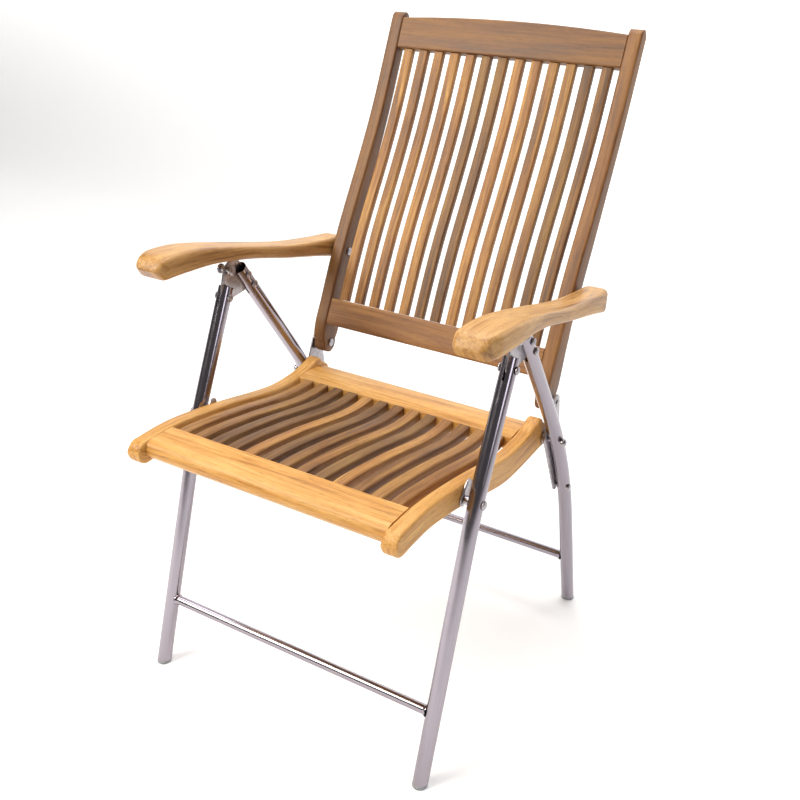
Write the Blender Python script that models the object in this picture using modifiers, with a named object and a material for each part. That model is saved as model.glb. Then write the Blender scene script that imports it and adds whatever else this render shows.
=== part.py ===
"""High-back folding armchair: teak slats on bent stainless-steel tube legs.

Metres, +Z up, the sitter faces -Y and the sitter's left is +X. The chair stands open on z = 0 in its
most upright position. Profiles are drawn in the side view as (y, z) points, with y counted from the
front feet; the last step centres the whole chair on y = 0.
"""

from math import atan2, cos, hypot, pi, radians, sin

import bmesh
import bpy
from mathutils import Matrix, Vector, geometry

# ---------------------------------------------------------------- driving dimensions

GAP = 0.0003  # left between pieces that touch
RUNNING = 0.00035  # radial clearance of a bolt in its hole

# legs
TUBE_R = 0.0125
TUBE_WALL = 0.0015
TRACK = 0.265  # from the middle of the chair to a leg's centreline
CROSSBAR_R = 0.008
CROSSBAR_Z = 0.119
FOOT_HEIGHT = 0.006
FOOT_STEM = 0.024
FRONT_FOOT = (0.0, 0.0)
FRONT_KNEE = (0.107, 0.428)
FRONT_PIVOT = (0.186, 0.636)  # hinge of the front legs on the gussets
FRONT_BEND_R = 0.8
FRONT_TOP_LENGTH = 0.018  # tube above its hinge
REAR_FOOT = (0.606, 0.0)
REAR_KNEE = (0.4765, 0.370)
REAR_TOP = (0.2265, 0.678)
REAR_BEND_R = 0.88
RIVET_FROM_TOP = (0.0155, 0.0410)

# plates and bolts
PLATE = 0.003
BOLT_R = 0.004
HEAD_R = 0.0075
HEAD_T = 0.004
NUT_T = 0.009
REST_STUD = (0.1935, 0.6815)
REST_STUD_R = 0.005
REST_DISC_R = 0.0085
LOCK_PIN = (0.2125, 0.6985)  # inside the arm's groove
LOCK_PIN_R = 0.003
SLOT_BELOW_PIVOT = 0.018

# joints of the wooden parts
SEAT_PIVOT = (0.416, 0.430)  # on the rear leg
BACK_PIVOT = (0.438, 0.4915)
PLATE_FOOT = (0.4855, 0.311)
SEAT_STUD = (0.115, 0.447)  # on the front leg, under the seat's hooks
ARM_PIVOT = (0.494, 0.660)
HOOK_OPENS = (0.387, -0.922)  # the way the stud leaves the hook as the chair folds

# seat
RAIL_W = 0.025
HOOK_SPACE = 0.0225  # from a leg's centreline to the side rail's outer face
SEAT_INNER = TRACK - HOOK_SPACE - RAIL_W  # from the middle to a side rail's inner face
SLATS = 13
SEAT_SLAT_W = 0.020
SEAT_SLAT_T = 0.019
SEAT_TOP = (
    (-0.055, 0.4735),
    (0.020, 0.4780),
    (0.130, 0.4685),
    (0.270, 0.4500),
    (0.345, 0.4535),
    (0.385, 0.4640),
)
SEAT_BOTTOM = ((0.400, 0.4110), (0.270, 0.4040), (0.130, 0.4300), (0.030, 0.4420), (-0.030, 0.4390))
NOSE = (-0.055, 0.4545)
NOSE_R = 0.019
HORN = (0.4005, 0.4610)
HORN_R = 0.0095
RAIL_END_Y = 0.434
SLAT_FRONT_Y = 0.0
SLAT_REAR_Y = 0.338
FRONT_RAIL_T = 0.024
FRONT_RAIL_Y = -0.052
REAR_RAIL_T = 0.024
REAR_RAIL_END_Y = 0.421

# back
STILE_W = 0.025
STILE_SPACE = 0.0220  # from a leg's centreline to the stile's outer face
BACK_INNER = TRACK - STILE_SPACE - STILE_W  # from the middle to a stile's inner face
STILE_FRONT = (
    (0.4195, 0.4950),
    (0.4155, 0.5080),
    (0.4205, 0.5350),
    (0.4360, 0.5720),
    (0.4645, 0.6440),
    (0.4985, 0.7200),
    (0.5600, 0.8390),
    (0.6020, 0.9300),
    (0.6550, 1.0700),
)
STILE_REAR = (
    (0.6840, 1.0700),
    (0.6330, 0.9300),
    (0.5920, 0.8320),
    (0.5520, 0.7400),
    (0.5290, 0.6900),
    (0.4990, 0.6250),
    (0.4830, 0.5750),
    (0.4730, 0.5370),
    (0.4650, 0.5090),
    (0.4565, 0.4950),
)
STILE_FOOT_R = 0.019  # round about the back's hinge
STILE_TOP_R = 0.0135
TOP_RAIL_Z = 1.0235  # its lower edge
TOP_RAIL_H = 0.056
TOP_RAIL_CROWN = 0.008
BACK_RAIL_T = 0.022
BOTTOM_RAIL_Z = 0.534
BOTTOM_RAIL_H = 0.051
RAIL_SET_BACK = 0.0015  # from the stiles' front edge
SLAT_SET_BACK = 0.0050
BACK_SLAT_W = 0.0183
BACK_SLAT_T = 0.0125

# arms
ARM_OVER_LEG = 0.0175  # how far an arm reaches inside a leg's centreline
ARM_INNER = TRACK - ARM_OVER_LEG
ARM_TOP = (
    (0.020, 0.716),
    (0.032, 0.7325),
    (0.062, 0.7370),
    (0.120, 0.7345),
    (0.210, 0.7205),
    (0.350, 0.6950),
    (0.450, 0.6840),
    (0.516, 0.6810),
)
ARM_BOTTOM = (
    (0.517, 0.6385),
    (0.450, 0.6530),
    (0.350, 0.6705),
    (0.245, 0.6910),
    (0.160, 0.7015),
    (0.090, 0.7025),
    (0.035, 0.7005),
)
ARM_PLAN = (  # (y, width)
    (0.512, 0.0440),
    (0.450, 0.0480),
    (0.350, 0.0510),
    (0.220, 0.0560),
    (0.120, 0.0640),
    (0.055, 0.0630),
)
ARM_WIDTH = 0.0640
ARM_ROUND = 0.006
GROOVE_HALF = 0.008
GROOVE_ENDS = (0.128, 0.242)
GROOVE_ROOF = 0.0150  # above the arm's underside
LOCK_RAIL_ENDS = (0.134, 0.230)
LOCK_NOTCH_R = 0.0045
LOCK_NOTCHES = 5
LOCK_PITCH = 0.0165

# ---------------------------------------------------------------- profiles


def arc(centre, radius, start, end, steps):
    """Points on a circle from angle start to angle end, in degrees, both included."""
    return [
        (
            centre[0] + radius * cos(radians(start + (end - start) * i / steps)),
            centre[1] + radius * sin(radians(start + (end - start) * i / steps)),
        )
        for i in range(steps + 1)
    ]


def through(points, spans=3):
    """A smooth curve through the points: spans straight pieces between each two."""
    ends = [points[0], *points, points[-1]]
    curve = [points[0]]
    for before, start, end, after in zip(ends, ends[1:], ends[2:], ends[3:]):
        before, start, end, after = (Vector(p) for p in (before, start, end, after))
        for i in range(1, spans + 1):
            t = i / spans
            pull_out = (end - before) / 2
            pull_in = (after - start) / 2
            place = (
                (2 * t**3 - 3 * t**2 + 1) * start
                + (t**3 - 2 * t**2 + t) * pull_out
                + (3 * t**2 - 2 * t**3) * end
                + (t**3 - t**2) * pull_in
            )
            curve.append(tuple(place))
    return curve


def height_at(curve, y):
    """The curve's z where it passes y."""
    for (y0, z0), (y1, z1) in zip(curve, curve[1:]):
        if min(y0, y1) <= y <= max(y0, y1):
            return z0 + (z1 - z0) * (y - y0) / (y1 - y0)
    return curve[0][1] if abs(y - curve[0][0]) < abs(y - curve[-1][0]) else curve[-1][1]


def between(curve, start, end):
    """The stretch of a curve from y = start to y = end, with both ends."""
    middle = [p for p in curve if min(start, end) + 1e-4 < p[0] < max(start, end) - 1e-4]
    return [(start, height_at(curve, start)), *middle, (end, height_at(curve, end))]


def lengths(path):
    """The distance along a path at each of its points."""
    total = [0.0]
    for a, b in zip(path, path[1:]):
        total.append(total[-1] + hypot(b[0] - a[0], b[1] - a[1]))
    return total


def point_along(path, distance):
    """The path's point and direction at a distance along it, carried on straight past its ends."""
    total = lengths(path)
    i = 0
    while i < len(path) - 2 and total[i + 1] < distance:
        i += 1
    a, b = Vector(path[i]), Vector(path[i + 1])
    direction = (b - a).normalized()
    return a + direction * (distance - total[i]), direction


def stretch(path, start, end):
    """The part of a path between two distances along it."""
    total = lengths(path)
    middle = [p for p, t in zip(path, total) if start + 0.004 < t < end - 0.004]
    return [tuple(point_along(path, start)[0]), *middle, tuple(point_along(path, end)[0])]


def around_discs(discs, steps=20):
    """The outline of a plate that just covers some discs, each (centre, radius)."""
    points = [p for centre, radius in discs for p in arc(centre, radius, 0, 360, steps)[:-1]]
    hull = geometry.convex_hull_2d(points)
    return [points[i] for i in hull]


def bent(corners, radius, steps=5):
    """A path through three corners with its bend rounded to a radius."""
    start, knee, end = (Vector(p) for p in corners)
    back, on = (start - knee).normalized(), (end - knee).normalized()
    turn = pi - back.angle(on)
    trim = radius * abs(turn) / 2
    centre = knee + (back + on).normalized() * radius / cos(turn / 2)
    first, last = knee + back * trim - centre, knee + on * trim - centre
    a0, a1 = atan2(first.y, first.x), atan2(last.y, last.x)
    if abs(a1 - a0) > pi:
        a1 += 2 * pi if a1 < a0 else -2 * pi
    curve = [
        (
            centre.x + radius * cos(a0 + (a1 - a0) * i / steps),
            centre.y + radius * sin(a0 + (a1 - a0) * i / steps),
        )
        for i in range(steps + 1)
    ]
    return [corners[0], *curve, corners[2]]


# ---------------------------------------------------------------- materials and objects


def material(name, colour, roughness, metallic=0.0):
    made = bpy.data.materials.new(name)
    made.use_nodes = True
    surface = made.node_tree.nodes["Principled BSDF"]
    surface.inputs["Base Color"].default_value = (*colour, 1)
    surface.inputs["Roughness"].default_value = roughness
    surface.inputs["Metallic"].default_value = metallic
    made.diffuse_color = (*colour, 1)
    return made


class Chair:
    """The scene's collections, and the empty that every piece hangs from."""

    def __init__(self):
        for old in list(bpy.data.objects):
            bpy.data.objects.remove(old, do_unlink=True)
        self.parts = bpy.data.collections.new("folding_armchair")
        self.cutters = bpy.data.collections.new("cutters")
        for collection in (self.parts, self.cutters):
            bpy.context.scene.collection.children.link(collection)
        self.cutters.hide_render = True
        self.honey_teak = material("honey_teak", (0.56, 0.32, 0.12), 0.45)
        self.brown_teak = material("brown_teak", (0.36, 0.19, 0.09), 0.5)
        self.steel = material("polished_steel", (0.62, 0.60, 0.62), 0.22, 1.0)
        self.grey_plastic = material("grey_plastic", (0.35, 0.35, 0.36), 0.6)
        self.origin = bpy.data.objects.new("chair_origin", None)
        self.parts.objects.link(self.origin)
        self.axes = {}

    def axis(self, name, place):
        """An empty on a hinge's axis, which runs along X."""
        if name not in self.axes:
            empty = bpy.data.objects.new(name, None)
            self.parts.objects.link(empty)
            empty.parent = self.origin
            empty.location = (0, *place)
            self.axes[name] = (empty, place)
        return self.axes[name]

    def add(self, name, mesh, finish, hinge):
        """A piece whose mesh is in chair coordinates, hung from its hinge's empty."""
        empty, place = hinge
        mesh.transform(Matrix.Translation((0, -place[0], -place[1])))
        piece = bpy.data.objects.new(name, mesh)
        mesh.materials.clear()
        mesh.materials.append(finish)
        piece.parent = empty
        self.parts.objects.link(piece)
        mesh.shade_smooth()
        mesh.set_sharp_from_angle(angle=radians(35))
        return piece

    def cutter(self, name, mesh):
        tool = bpy.data.objects.new(name, mesh)
        tool.hide_render = True
        tool.display_type = "WIRE"
        self.cutters.objects.link(tool)
        return tool


def solid_from_outline(outline, depth_range, rotation):
    """A flat outline as a filled curve, extruded over depth_range along its own normal."""
    curve = bpy.data.curves.new("outline", "CURVE")
    curve.dimensions = "2D"
    curve.fill_mode = "BOTH"
    curve.extrude = (depth_range[1] - depth_range[0]) / 2
    spline = curve.splines.new("POLY")
    spline.points.add(len(outline) - 1)
    for point, place in zip(spline.points, outline):
        point.co = (*place, 0, 1)
    spline.use_cyclic_u = True
    lift = Matrix.Translation((0, 0, sum(depth_range) / 2))
    return mesh_of_curve(curve, rotation @ lift)


def mesh_of_curve(curve, matrix):
    """A curve's evaluated mesh, welded, in place, with its faces pointing out."""
    holder = bpy.data.objects.new("curve", curve)
    bpy.context.scene.collection.objects.link(holder)
    graph = bpy.context.evaluated_depsgraph_get()
    mesh = bpy.data.meshes.new_from_object(holder.evaluated_get(graph))
    bpy.data.objects.remove(holder)
    mesh.transform(matrix)
    work = bmesh.new()
    work.from_mesh(mesh)
    bmesh.ops.remove_doubles(work, verts=work.verts, dist=1e-6)
    bmesh.ops.recalc_face_normals(work, faces=work.faces)
    work.to_mesh(mesh)
    work.free()
    return mesh


SIDE_VIEW = Matrix(((0, 0, 1, 0), (1, 0, 0, 0), (0, 1, 0, 0), (0, 0, 0, 1)))


def side_solid(outline, x_range):
    """An outline in (y, z), extruded over x_range."""
    return solid_from_outline(outline, (min(x_range), max(x_range)), SIDE_VIEW)


def plan_solid(outline, z_range):
    """An outline in (x, y), extruded over z_range."""
    return solid_from_outline(outline, z_range, Matrix.Identity(4))


def rod(path, radius, x=0.0, resolution=6):
    """A round bar along a path in (y, z), at one x."""
    return rod_3d([(x, y, z) for y, z in path], radius, resolution)


def rod_3d(path, radius, resolution=6):
    curve = bpy.data.curves.new("rod", "CURVE")
    curve.dimensions = "3D"
    curve.bevel_depth = radius
    curve.bevel_resolution = resolution
    curve.use_fill_caps = True
    spline = curve.splines.new("POLY")
    spline.points.add(len(path) - 1)
    for point, place in zip(spline.points, path):
        point.co = (*place, 1)
    return mesh_of_curve(curve, Matrix.Identity(4))


def pin(place, x_range, radius, resolution=4):
    """A straight pin along X."""
    return rod_3d([(min(x_range), *place), (max(x_range), *place)], radius, resolution)


def box(low, high):
    work = bmesh.new()
    bmesh.ops.create_cube(work, size=1.0)
    size = [b - a for a, b in zip(low, high)]
    middle = [(a + b) / 2 for a, b in zip(low, high)]
    placed = Matrix.Translation(middle) @ Matrix.Diagonal((*size, 1))
    bmesh.ops.transform(work, matrix=placed, verts=work.verts)
    mesh = bpy.data.meshes.new("box")
    work.to_mesh(mesh)
    work.free()
    return mesh


def combine(chair, base, tools, operation):
    """The mesh of base after each tool mesh is joined to it or cut from it."""
    worked = chair.cutter("work", base)
    helpers = []
    for number, tool in enumerate(tools):
        helper = chair.cutter(f"tool_{number}", tool)
        modifier = worked.modifiers.new(f"{operation}_{number}", "BOOLEAN")
        modifier.operation = operation
        modifier.object = helper
        modifier.solver = "EXACT"
        helpers.append(helper)
    graph = bpy.context.evaluated_depsgraph_get()
    mesh = bpy.data.meshes.new_from_object(worked.evaluated_get(graph))
    for used in (worked, *helpers):
        bpy.data.objects.remove(used)
    return mesh


def joined(chair, base, *tools):
    return combine(chair, base, tools, "UNION")


def cut(chair, base, *tools):
    return combine(chair, base, tools, "DIFFERENCE")


def rounded(piece, width, segments=1, angle=40):
    """Rounds a piece's sharp edges."""
    bevel = piece.modifiers.new("rounded_edges", "BEVEL")
    bevel.width = width
    bevel.segments = segments
    bevel.limit_method = "ANGLE"
    bevel.angle_limit = radians(angle)
    bevel.use_clamp_overlap = True
    return piece


def baked(chair, piece_mesh, width, segments=1, angle=40):
    """A mesh with its sharp edges rounded, ready to be cut."""
    worked = chair.cutter("work", piece_mesh)
    rounded(worked, width, segments, angle)
    graph = bpy.context.evaluated_depsgraph_get()
    mesh = bpy.data.meshes.new_from_object(worked.evaluated_get(graph))
    bpy.data.objects.remove(worked)
    return mesh


SIDES = (("left", 1), ("right", -1))


def span(side, *xs):
    """x values on one side of the chair, in order."""
    return sorted(side * x for x in xs)


# ---------------------------------------------------------------- legs


def front_leg_path():
    along = (Vector(FRONT_PIVOT) - Vector(FRONT_KNEE)).normalized()
    top = Vector(FRONT_PIVOT) + along * FRONT_TOP_LENGTH
    return bent((FRONT_FOOT, FRONT_KNEE, tuple(top)), FRONT_BEND_R)


def rear_leg_path():
    return bent((REAR_FOOT, REAR_KNEE, REAR_TOP), REAR_BEND_R)


def sunk(path, depth):
    """The path carried on past its start, below the floor."""
    start, following = Vector(path[0]), Vector(path[1])
    return [tuple(start - (following - start).normalized() * depth), *path]


def tube(chair, path, side):
    """A leg's tube, cut level at the foot plug and open at both ends."""
    long_path = sunk(path, 0.02)
    top = Vector(path[-1])
    beyond = top + (top - Vector(path[-2])).normalized() * 0.02
    outer = rod(long_path, TUBE_R, side * TRACK)
    bore = rod([*long_path[:-1], tuple(beyond)], TUBE_R - TUBE_WALL, side * TRACK)
    x = side * TRACK
    floor = box(
        (x - 0.03, path[0][0] - 0.05, -0.05), (x + 0.03, path[0][0] + 0.05, FOOT_HEIGHT + GAP)
    )
    return cut(chair, outer, bore, floor)


def slot_cutter(path, side, below, forward, backward):
    """A saw cut for a plate: from above the tube's end to some way below it, out of one or both sides."""
    end = Vector(path[-1])
    along = (end - Vector(path[-2])).normalized()
    across = Vector((along.y, -along.x))
    top = end + along * 0.02
    low = end - along * below
    corners = [
        top - across * forward,
        top + across * backward,
        low + across * backward,
        low - across * forward,
    ]
    half = PLATE / 2 + 0.0005
    return side_solid([tuple(c) for c in corners], span(side, TRACK - half, TRACK + half))


def leg_node(chair, name, path, side, cutters, studs, hinge):
    mesh = cut(chair, tube(chair, path, side), *cutters)
    if studs:
        mesh = joined(chair, mesh, *studs)
    return chair.add(name, mesh, chair.steel, hinge)


def front_legs(chair):
    hinge = chair.axis("front_leg_hinge", FRONT_PIVOT)
    path = front_leg_path()
    for word, side in SIDES:
        slot = slot_cutter(path, side, FRONT_TOP_LENGTH + SLOT_BELOW_PIVOT, 0.03, 0.03)
        hole = pin(FRONT_PIVOT, span(side, TRACK - 0.03, TRACK + 0.03), BOLT_R + RUNNING)
        stud = pin(SEAT_STUD, span(side, stud_inner_x(), TRACK + TUBE_R + HEAD_T), BOLT_R)
        collar = pin(SEAT_STUD, span(side, hook_outer_x() + 0.0008, TRACK - TUBE_R + 0.002), HEAD_R - 0.0005)
        head = pin(SEAT_STUD, span(side, TRACK + TUBE_R - 0.002, TRACK + TUBE_R + HEAD_T), HEAD_R)
        leg_node(chair, f"front_leg_{word}", path, side, [slot, hole], [stud, collar, head], hinge)
        foot_plug(chair, f"front_foot_{word}", path, side, hinge)
    crossbar(chair, "front_crossbar", path, hinge)


def rear_legs(chair):
    frame = (chair.origin, (0, 0))
    path = rear_leg_path()
    for word, side in SIDES:
        rivets = [pin(p, span(side, TRACK - 0.03, TRACK + 0.03), BOLT_R + RUNNING) for p in rivet_places()]
        seat_hole = pin(SEAT_PIVOT, span(side, TRACK - 0.03, TRACK + 0.03), BOLT_R + RUNNING)
        plate_hole = pin(PLATE_FOOT, span(side, TRACK - 0.03, TRACK + 0.03), BOLT_R + RUNNING)
        slot = slot_cutter(path, side, RIVET_FROM_TOP[1] + 0.016, 0.03, 0.0)
        leg_node(chair, f"rear_leg_{word}", path, side, [slot, *rivets, seat_hole, plate_hole], [], frame)
        foot_plug(chair, f"rear_foot_{word}", path, side, frame)
    crossbar(chair, "rear_crossbar", path, frame)


def foot_plug(chair, name, path, side, hinge):
    """A plastic plug: a level pad as wide as the tube, on a stem that fills its bore."""
    x = side * TRACK
    start, along = Vector(path[0]), (Vector(path[1]) - Vector(path[0])).normalized()
    low, high = tuple(start - along * 0.02), tuple(start + along * (FOOT_STEM + 0.006))
    pad = rod([low, high], TUBE_R, x)
    stem = rod([tuple(start + along * 0.002), tuple(start + along * FOOT_STEM)], TUBE_R - TUBE_WALL - GAP, x)
    slab = (0.05, 0.05)
    above = box(
        (x - slab[0], start.x - slab[1], FOOT_HEIGHT), (x + slab[0], start.x + slab[1], FOOT_HEIGHT + 0.06)
    )
    below = box((x - slab[0], start.x - slab[1], -0.06), (x + slab[0], start.x + slab[1], 0.0))
    mesh = joined(chair, cut(chair, pad, above, below), cut(chair, stem, below))
    chair.add(name, mesh, chair.grey_plastic, hinge)


def crossbar(chair, name, path, hinge):
    """A round bar between the two legs, its ends hollowed to fit the tubes."""
    y = next(
        a[0] + (b[0] - a[0]) * (CROSSBAR_Z - a[1]) / (b[1] - a[1])
        for a, b in zip(path, path[1:])
        if a[1] <= CROSSBAR_Z <= b[1]
    )
    bar = pin((y, CROSSBAR_Z), (-TRACK, TRACK), CROSSBAR_R, 3)
    tubes = [rod(path[:3], TUBE_R + GAP, side * TRACK) for _, side in SIDES]
    chair.add(name, cut(chair, bar, *tubes), chair.steel, hinge)


# ---------------------------------------------------------------- plates and bolts


def rivet_places():
    path = rear_leg_path()
    top = Vector(path[-1])
    down = (Vector(path[-2]) - top).normalized()
    return [tuple(top + down * distance) for distance in RIVET_FROM_TOP]


def hook_outer_x():
    return SEAT_INNER + RAIL_W + GAP + PLATE


def stud_inner_x():
    return SEAT_INNER + RAIL_W + GAP


def hinge_plate_x():
    outer = TRACK - TUBE_R - GAP
    return outer - PLATE, outer


def gussets(chair):
    """A plate riveted into the rear tube.

    It holds the front leg's hinge pin, a rest stud with two discs, and the lock pin.
    """
    rear, front = rivet_places()
    covered = [
        (FRONT_PIVOT, 0.0105),
        (REST_STUD, 0.0075),
        (LOCK_PIN, 0.0045),
        (rear, 0.0085),
        (front, 0.0085),
    ]
    for word, side in SIDES:
        plate = side_solid(around_discs(covered), span(side, TRACK - PLATE / 2, TRACK + PLATE / 2))
        through_x = span(side, TRACK - TUBE_R - HEAD_T, TRACK + TUBE_R + HEAD_T)
        pins = [pin(place, through_x, BOLT_R) for place in (FRONT_PIVOT, rear, front)]
        for place in (FRONT_PIVOT, rear, front):
            for end in (-1, 1):
                near = TRACK + end * (TUBE_R + GAP)
                pins.append(pin(place, span(side, near, near + end * (HEAD_T - GAP)), HEAD_R - 0.001))
        pins.append(pin(REST_STUD, span(side, TRACK - 0.0135, TRACK + 0.0135), REST_STUD_R, 5))
        for end in (-1, 1):
            near = TRACK + end * 0.0100
            pins.append(pin(REST_STUD, span(side, near, near + end * 0.0035), REST_DISC_R, 6))
        pins.append(pin(LOCK_PIN, span(side, TRACK - 0.0065, TRACK + 0.0065), LOCK_PIN_R))
        chair.add(f"gusset_{word}", joined(chair, plate, *pins), chair.steel, (chair.origin, (0, 0)))


def hinge_plates(chair):
    """The plate inside each rear tube that carries the back's hinge and the seat's hinge bolt."""
    for word, side in SIDES:
        outline = around_discs([(SEAT_PIVOT, 0.0125), (BACK_PIVOT, 0.0135), (PLATE_FOOT, 0.0105)])
        plate = side_solid(outline, span(side, *hinge_plate_x()))
        reach = span(side, TRACK - 0.025, TRACK - 0.005)
        holes = [pin(place, reach, BOLT_R + RUNNING) for place in (SEAT_PIVOT, BACK_PIVOT)]
        bolt = pin(PLATE_FOOT, span(side, hinge_plate_x()[0] - 0.002, TRACK + TUBE_R + 0.003), BOLT_R)
        heads = [
            pin(PLATE_FOOT, span(side, hinge_plate_x()[0] - 0.0025, hinge_plate_x()[0] + 0.001), HEAD_R),
            pin(PLATE_FOOT, span(side, TRACK + TUBE_R + GAP, TRACK + TUBE_R + 0.003), HEAD_R - 0.001),
        ]
        mesh = joined(chair, cut(chair, plate, *holes), bolt, *heads)
        chair.add(f"hinge_plate_{word}", mesh, chair.steel, (chair.origin, (0, 0)))


def seat_bolts(chair, hinge):
    """The bolt through rear tube and hinge plate that ends in the seat's side rail."""
    for word, side in SIDES:
        shank = pin(SEAT_PIVOT, span(side, SEAT_INNER + 0.010, TRACK + TUBE_R + NUT_T), BOLT_R)
        nut = pin(SEAT_PIVOT, span(side, TRACK + TUBE_R + GAP, TRACK + TUBE_R + NUT_T), HEAD_R, 2)
        spacer = pin(SEAT_PIVOT, span(side, SEAT_INNER + RAIL_W + GAP, hinge_plate_x()[0] - GAP), 0.0105, 5)
        chair.add(f"seat_pivot_bolt_{word}", joined(chair, shank, nut, spacer), chair.steel, hinge)


def back_bolts(chair, hinge):
    for word, side in SIDES:
        shank = pin(BACK_PIVOT, span(side, BACK_INNER - HEAD_T, hinge_plate_x()[1]), BOLT_R)
        head = pin(BACK_PIVOT, span(side, BACK_INNER - HEAD_T, BACK_INNER - GAP), HEAD_R)
        between_x = span(side, BACK_INNER + STILE_W + GAP, hinge_plate_x()[0] - GAP)
        spacer = pin(BACK_PIVOT, between_x, HEAD_R + 0.001, 5)
        chair.add(f"back_pivot_bolt_{word}", joined(chair, shank, head, spacer), chair.steel, hinge)


def arm_bolts(chair, hinge):
    for word, side in SIDES:
        shank = pin(ARM_PIVOT, span(side, BACK_INNER - HEAD_T, ARM_INNER + 0.030), BOLT_R)
        head = pin(ARM_PIVOT, span(side, BACK_INNER - HEAD_T, BACK_INNER - GAP), HEAD_R)
        spacer = pin(ARM_PIVOT, span(side, BACK_INNER + STILE_W + GAP, ARM_INNER - GAP), 0.0105, 5)
        chair.add(f"arm_pivot_bolt_{word}", joined(chair, shank, head, spacer), chair.steel, hinge)


# ---------------------------------------------------------------- seat


def seat_top_curve():
    return through(SEAT_TOP, 3)


def side_rail_outline():
    top = through([*SEAT_TOP, (HORN[0] - HORN_R * 0.5, HORN[1] + HORN_R * 0.95)], 3)
    horn = arc(HORN, HORN_R, 60, 10, 3)
    end = [
        (RAIL_END_Y - 0.004, 0.4500),
        (RAIL_END_Y, 0.4400),
        (RAIL_END_Y, 0.4240),
        (RAIL_END_Y - 0.008, 0.4125),
    ]
    bottom = through(SEAT_BOTTOM, 3)
    nose = arc(NOSE, NOSE_R, -75, -270, 7)[:-1]
    return [*top, *horn, *end, *bottom, *nose]


def seat_strip(start, end, thickness, drop=0.0):
    """A strip under the seat's top curve, between two y values."""
    top = [(y, z - drop) for y, z in between(seat_top_curve(), start, end)]
    low = [(y, z - thickness) for y, z in top]
    return top + low[::-1]


def slat_centres(inner, width):
    gap = (2 * inner - SLATS * width) / (SLATS + 1)
    return [-inner + gap * (i + 1) + width * (i + 0.5) for i in range(SLATS)]


def front_rail_outline():
    """A plank that rolls over at the front of the seat."""
    top = between(seat_top_curve(), FRONT_RAIL_Y + 0.010, SLAT_FRONT_Y)
    roll = arc((FRONT_RAIL_Y + 0.008, top[0][1] - 0.016), 0.0165, 90, 200, 5)
    under = [(FRONT_RAIL_Y + 0.004, top[0][1] - 0.0335), (FRONT_RAIL_Y + 0.014, top[0][1] - 0.030)]
    low = (SLAT_FRONT_Y, top[-1][1] - FRONT_RAIL_T)
    return [*roll[::-1], *top[1:], low, *under[::-1]]


def rear_rail_outline():
    top = [(SLAT_REAR_Y, height_at(seat_top_curve(), SLAT_REAR_Y)), (0.362, 0.4560), (0.395, 0.4560)]
    back = [
        (REAR_RAIL_END_Y - 0.006, 0.4515),
        (REAR_RAIL_END_Y, 0.4440),
        (REAR_RAIL_END_Y, 0.4340),
        (0.395, 0.4300),
    ]
    return [*top, *back, (SLAT_REAR_Y, top[0][1] - REAR_RAIL_T)]


def seat(chair):
    hinge = chair.axis("seat_hinge", SEAT_PIVOT)
    inner = SEAT_INNER - GAP
    for word, side in SIDES:
        blank = side_solid(side_rail_outline(), span(side, SEAT_INNER, SEAT_INNER + RAIL_W))
        rail = baked(chair, blank, 0.004, 2, 50)
        bore = pin(SEAT_PIVOT, span(side, SEAT_INNER + 0.009, TRACK - 0.005), BOLT_R + RUNNING)
        chair.add(f"seat_side_rail_{word}", cut(chair, rail, bore), chair.honey_teak, hinge)
        hook = hook_plate(chair, side)
        chair.add(f"seat_hook_{word}", hook, chair.steel, hinge)
    front = side_solid(front_rail_outline(), (-inner, inner))
    chair.add("seat_front_rail", front, chair.honey_teak, hinge)
    rear = side_solid(rear_rail_outline(), (-inner, inner))
    chair.add("seat_rear_rail", rear, chair.honey_teak, hinge)
    for number, x in enumerate(slat_centres(SEAT_INNER, SEAT_SLAT_W), 1):
        outline = seat_strip(SLAT_FRONT_Y + GAP, SLAT_REAR_Y - GAP, SEAT_SLAT_T, 0.001)
        mesh = side_solid(outline, (x - SEAT_SLAT_W / 2, x + SEAT_SLAT_W / 2))
        slat = chair.add(f"seat_slat_{number:02d}", mesh, chair.brown_teak, hinge)
        rounded(slat, 0.0022, 1, 60)
    seat_bolts(chair, hinge)


def hook_plate(chair, side):
    """The plate on the side rail that drops over the front leg's stud."""
    upper = (SEAT_STUD[0] + 0.012, SEAT_STUD[1] + 0.020)
    plate = side_solid(
        around_discs([(SEAT_STUD, 0.0115), (upper, 0.0085)]),
        span(side, stud_inner_x(), stud_inner_x() + PLATE),
    )
    opens = Vector(HOOK_OPENS).normalized()
    across = Vector((-opens.y, opens.x)) * (BOLT_R + 0.0006)
    stud, out = Vector(SEAT_STUD), Vector(SEAT_STUD) + opens * 0.02
    corners = (stud - across, out - across, out + across, stud + across)
    mouth = side_solid([tuple(p) for p in corners], span(side, TRACK - 0.025, TRACK - 0.005))
    eye = pin(SEAT_STUD, span(side, TRACK - 0.025, TRACK - 0.005), BOLT_R + 0.0006)
    return cut(chair, plate, joined(chair, mouth, eye))


# ---------------------------------------------------------------- back


def front_edge():
    return through(STILE_FRONT, 3)


def stile_outline():
    front, rear = front_edge(), through(STILE_REAR, 3)
    top = ((front[-1][0] + rear[0][0]) / 2, (front[-1][1] + rear[0][1]) / 2)
    way = atan2(front[-1][1] - front[-2][1], front[-1][0] - front[-2][0]) * 180 / pi
    cap = arc(top, STILE_TOP_R, way + 80, way - 80, 6)
    foot = arc(BACK_PIVOT, STILE_FOOT_R, 0, -180, 10)
    return [*front, *cap, *rear, *foot]


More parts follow.
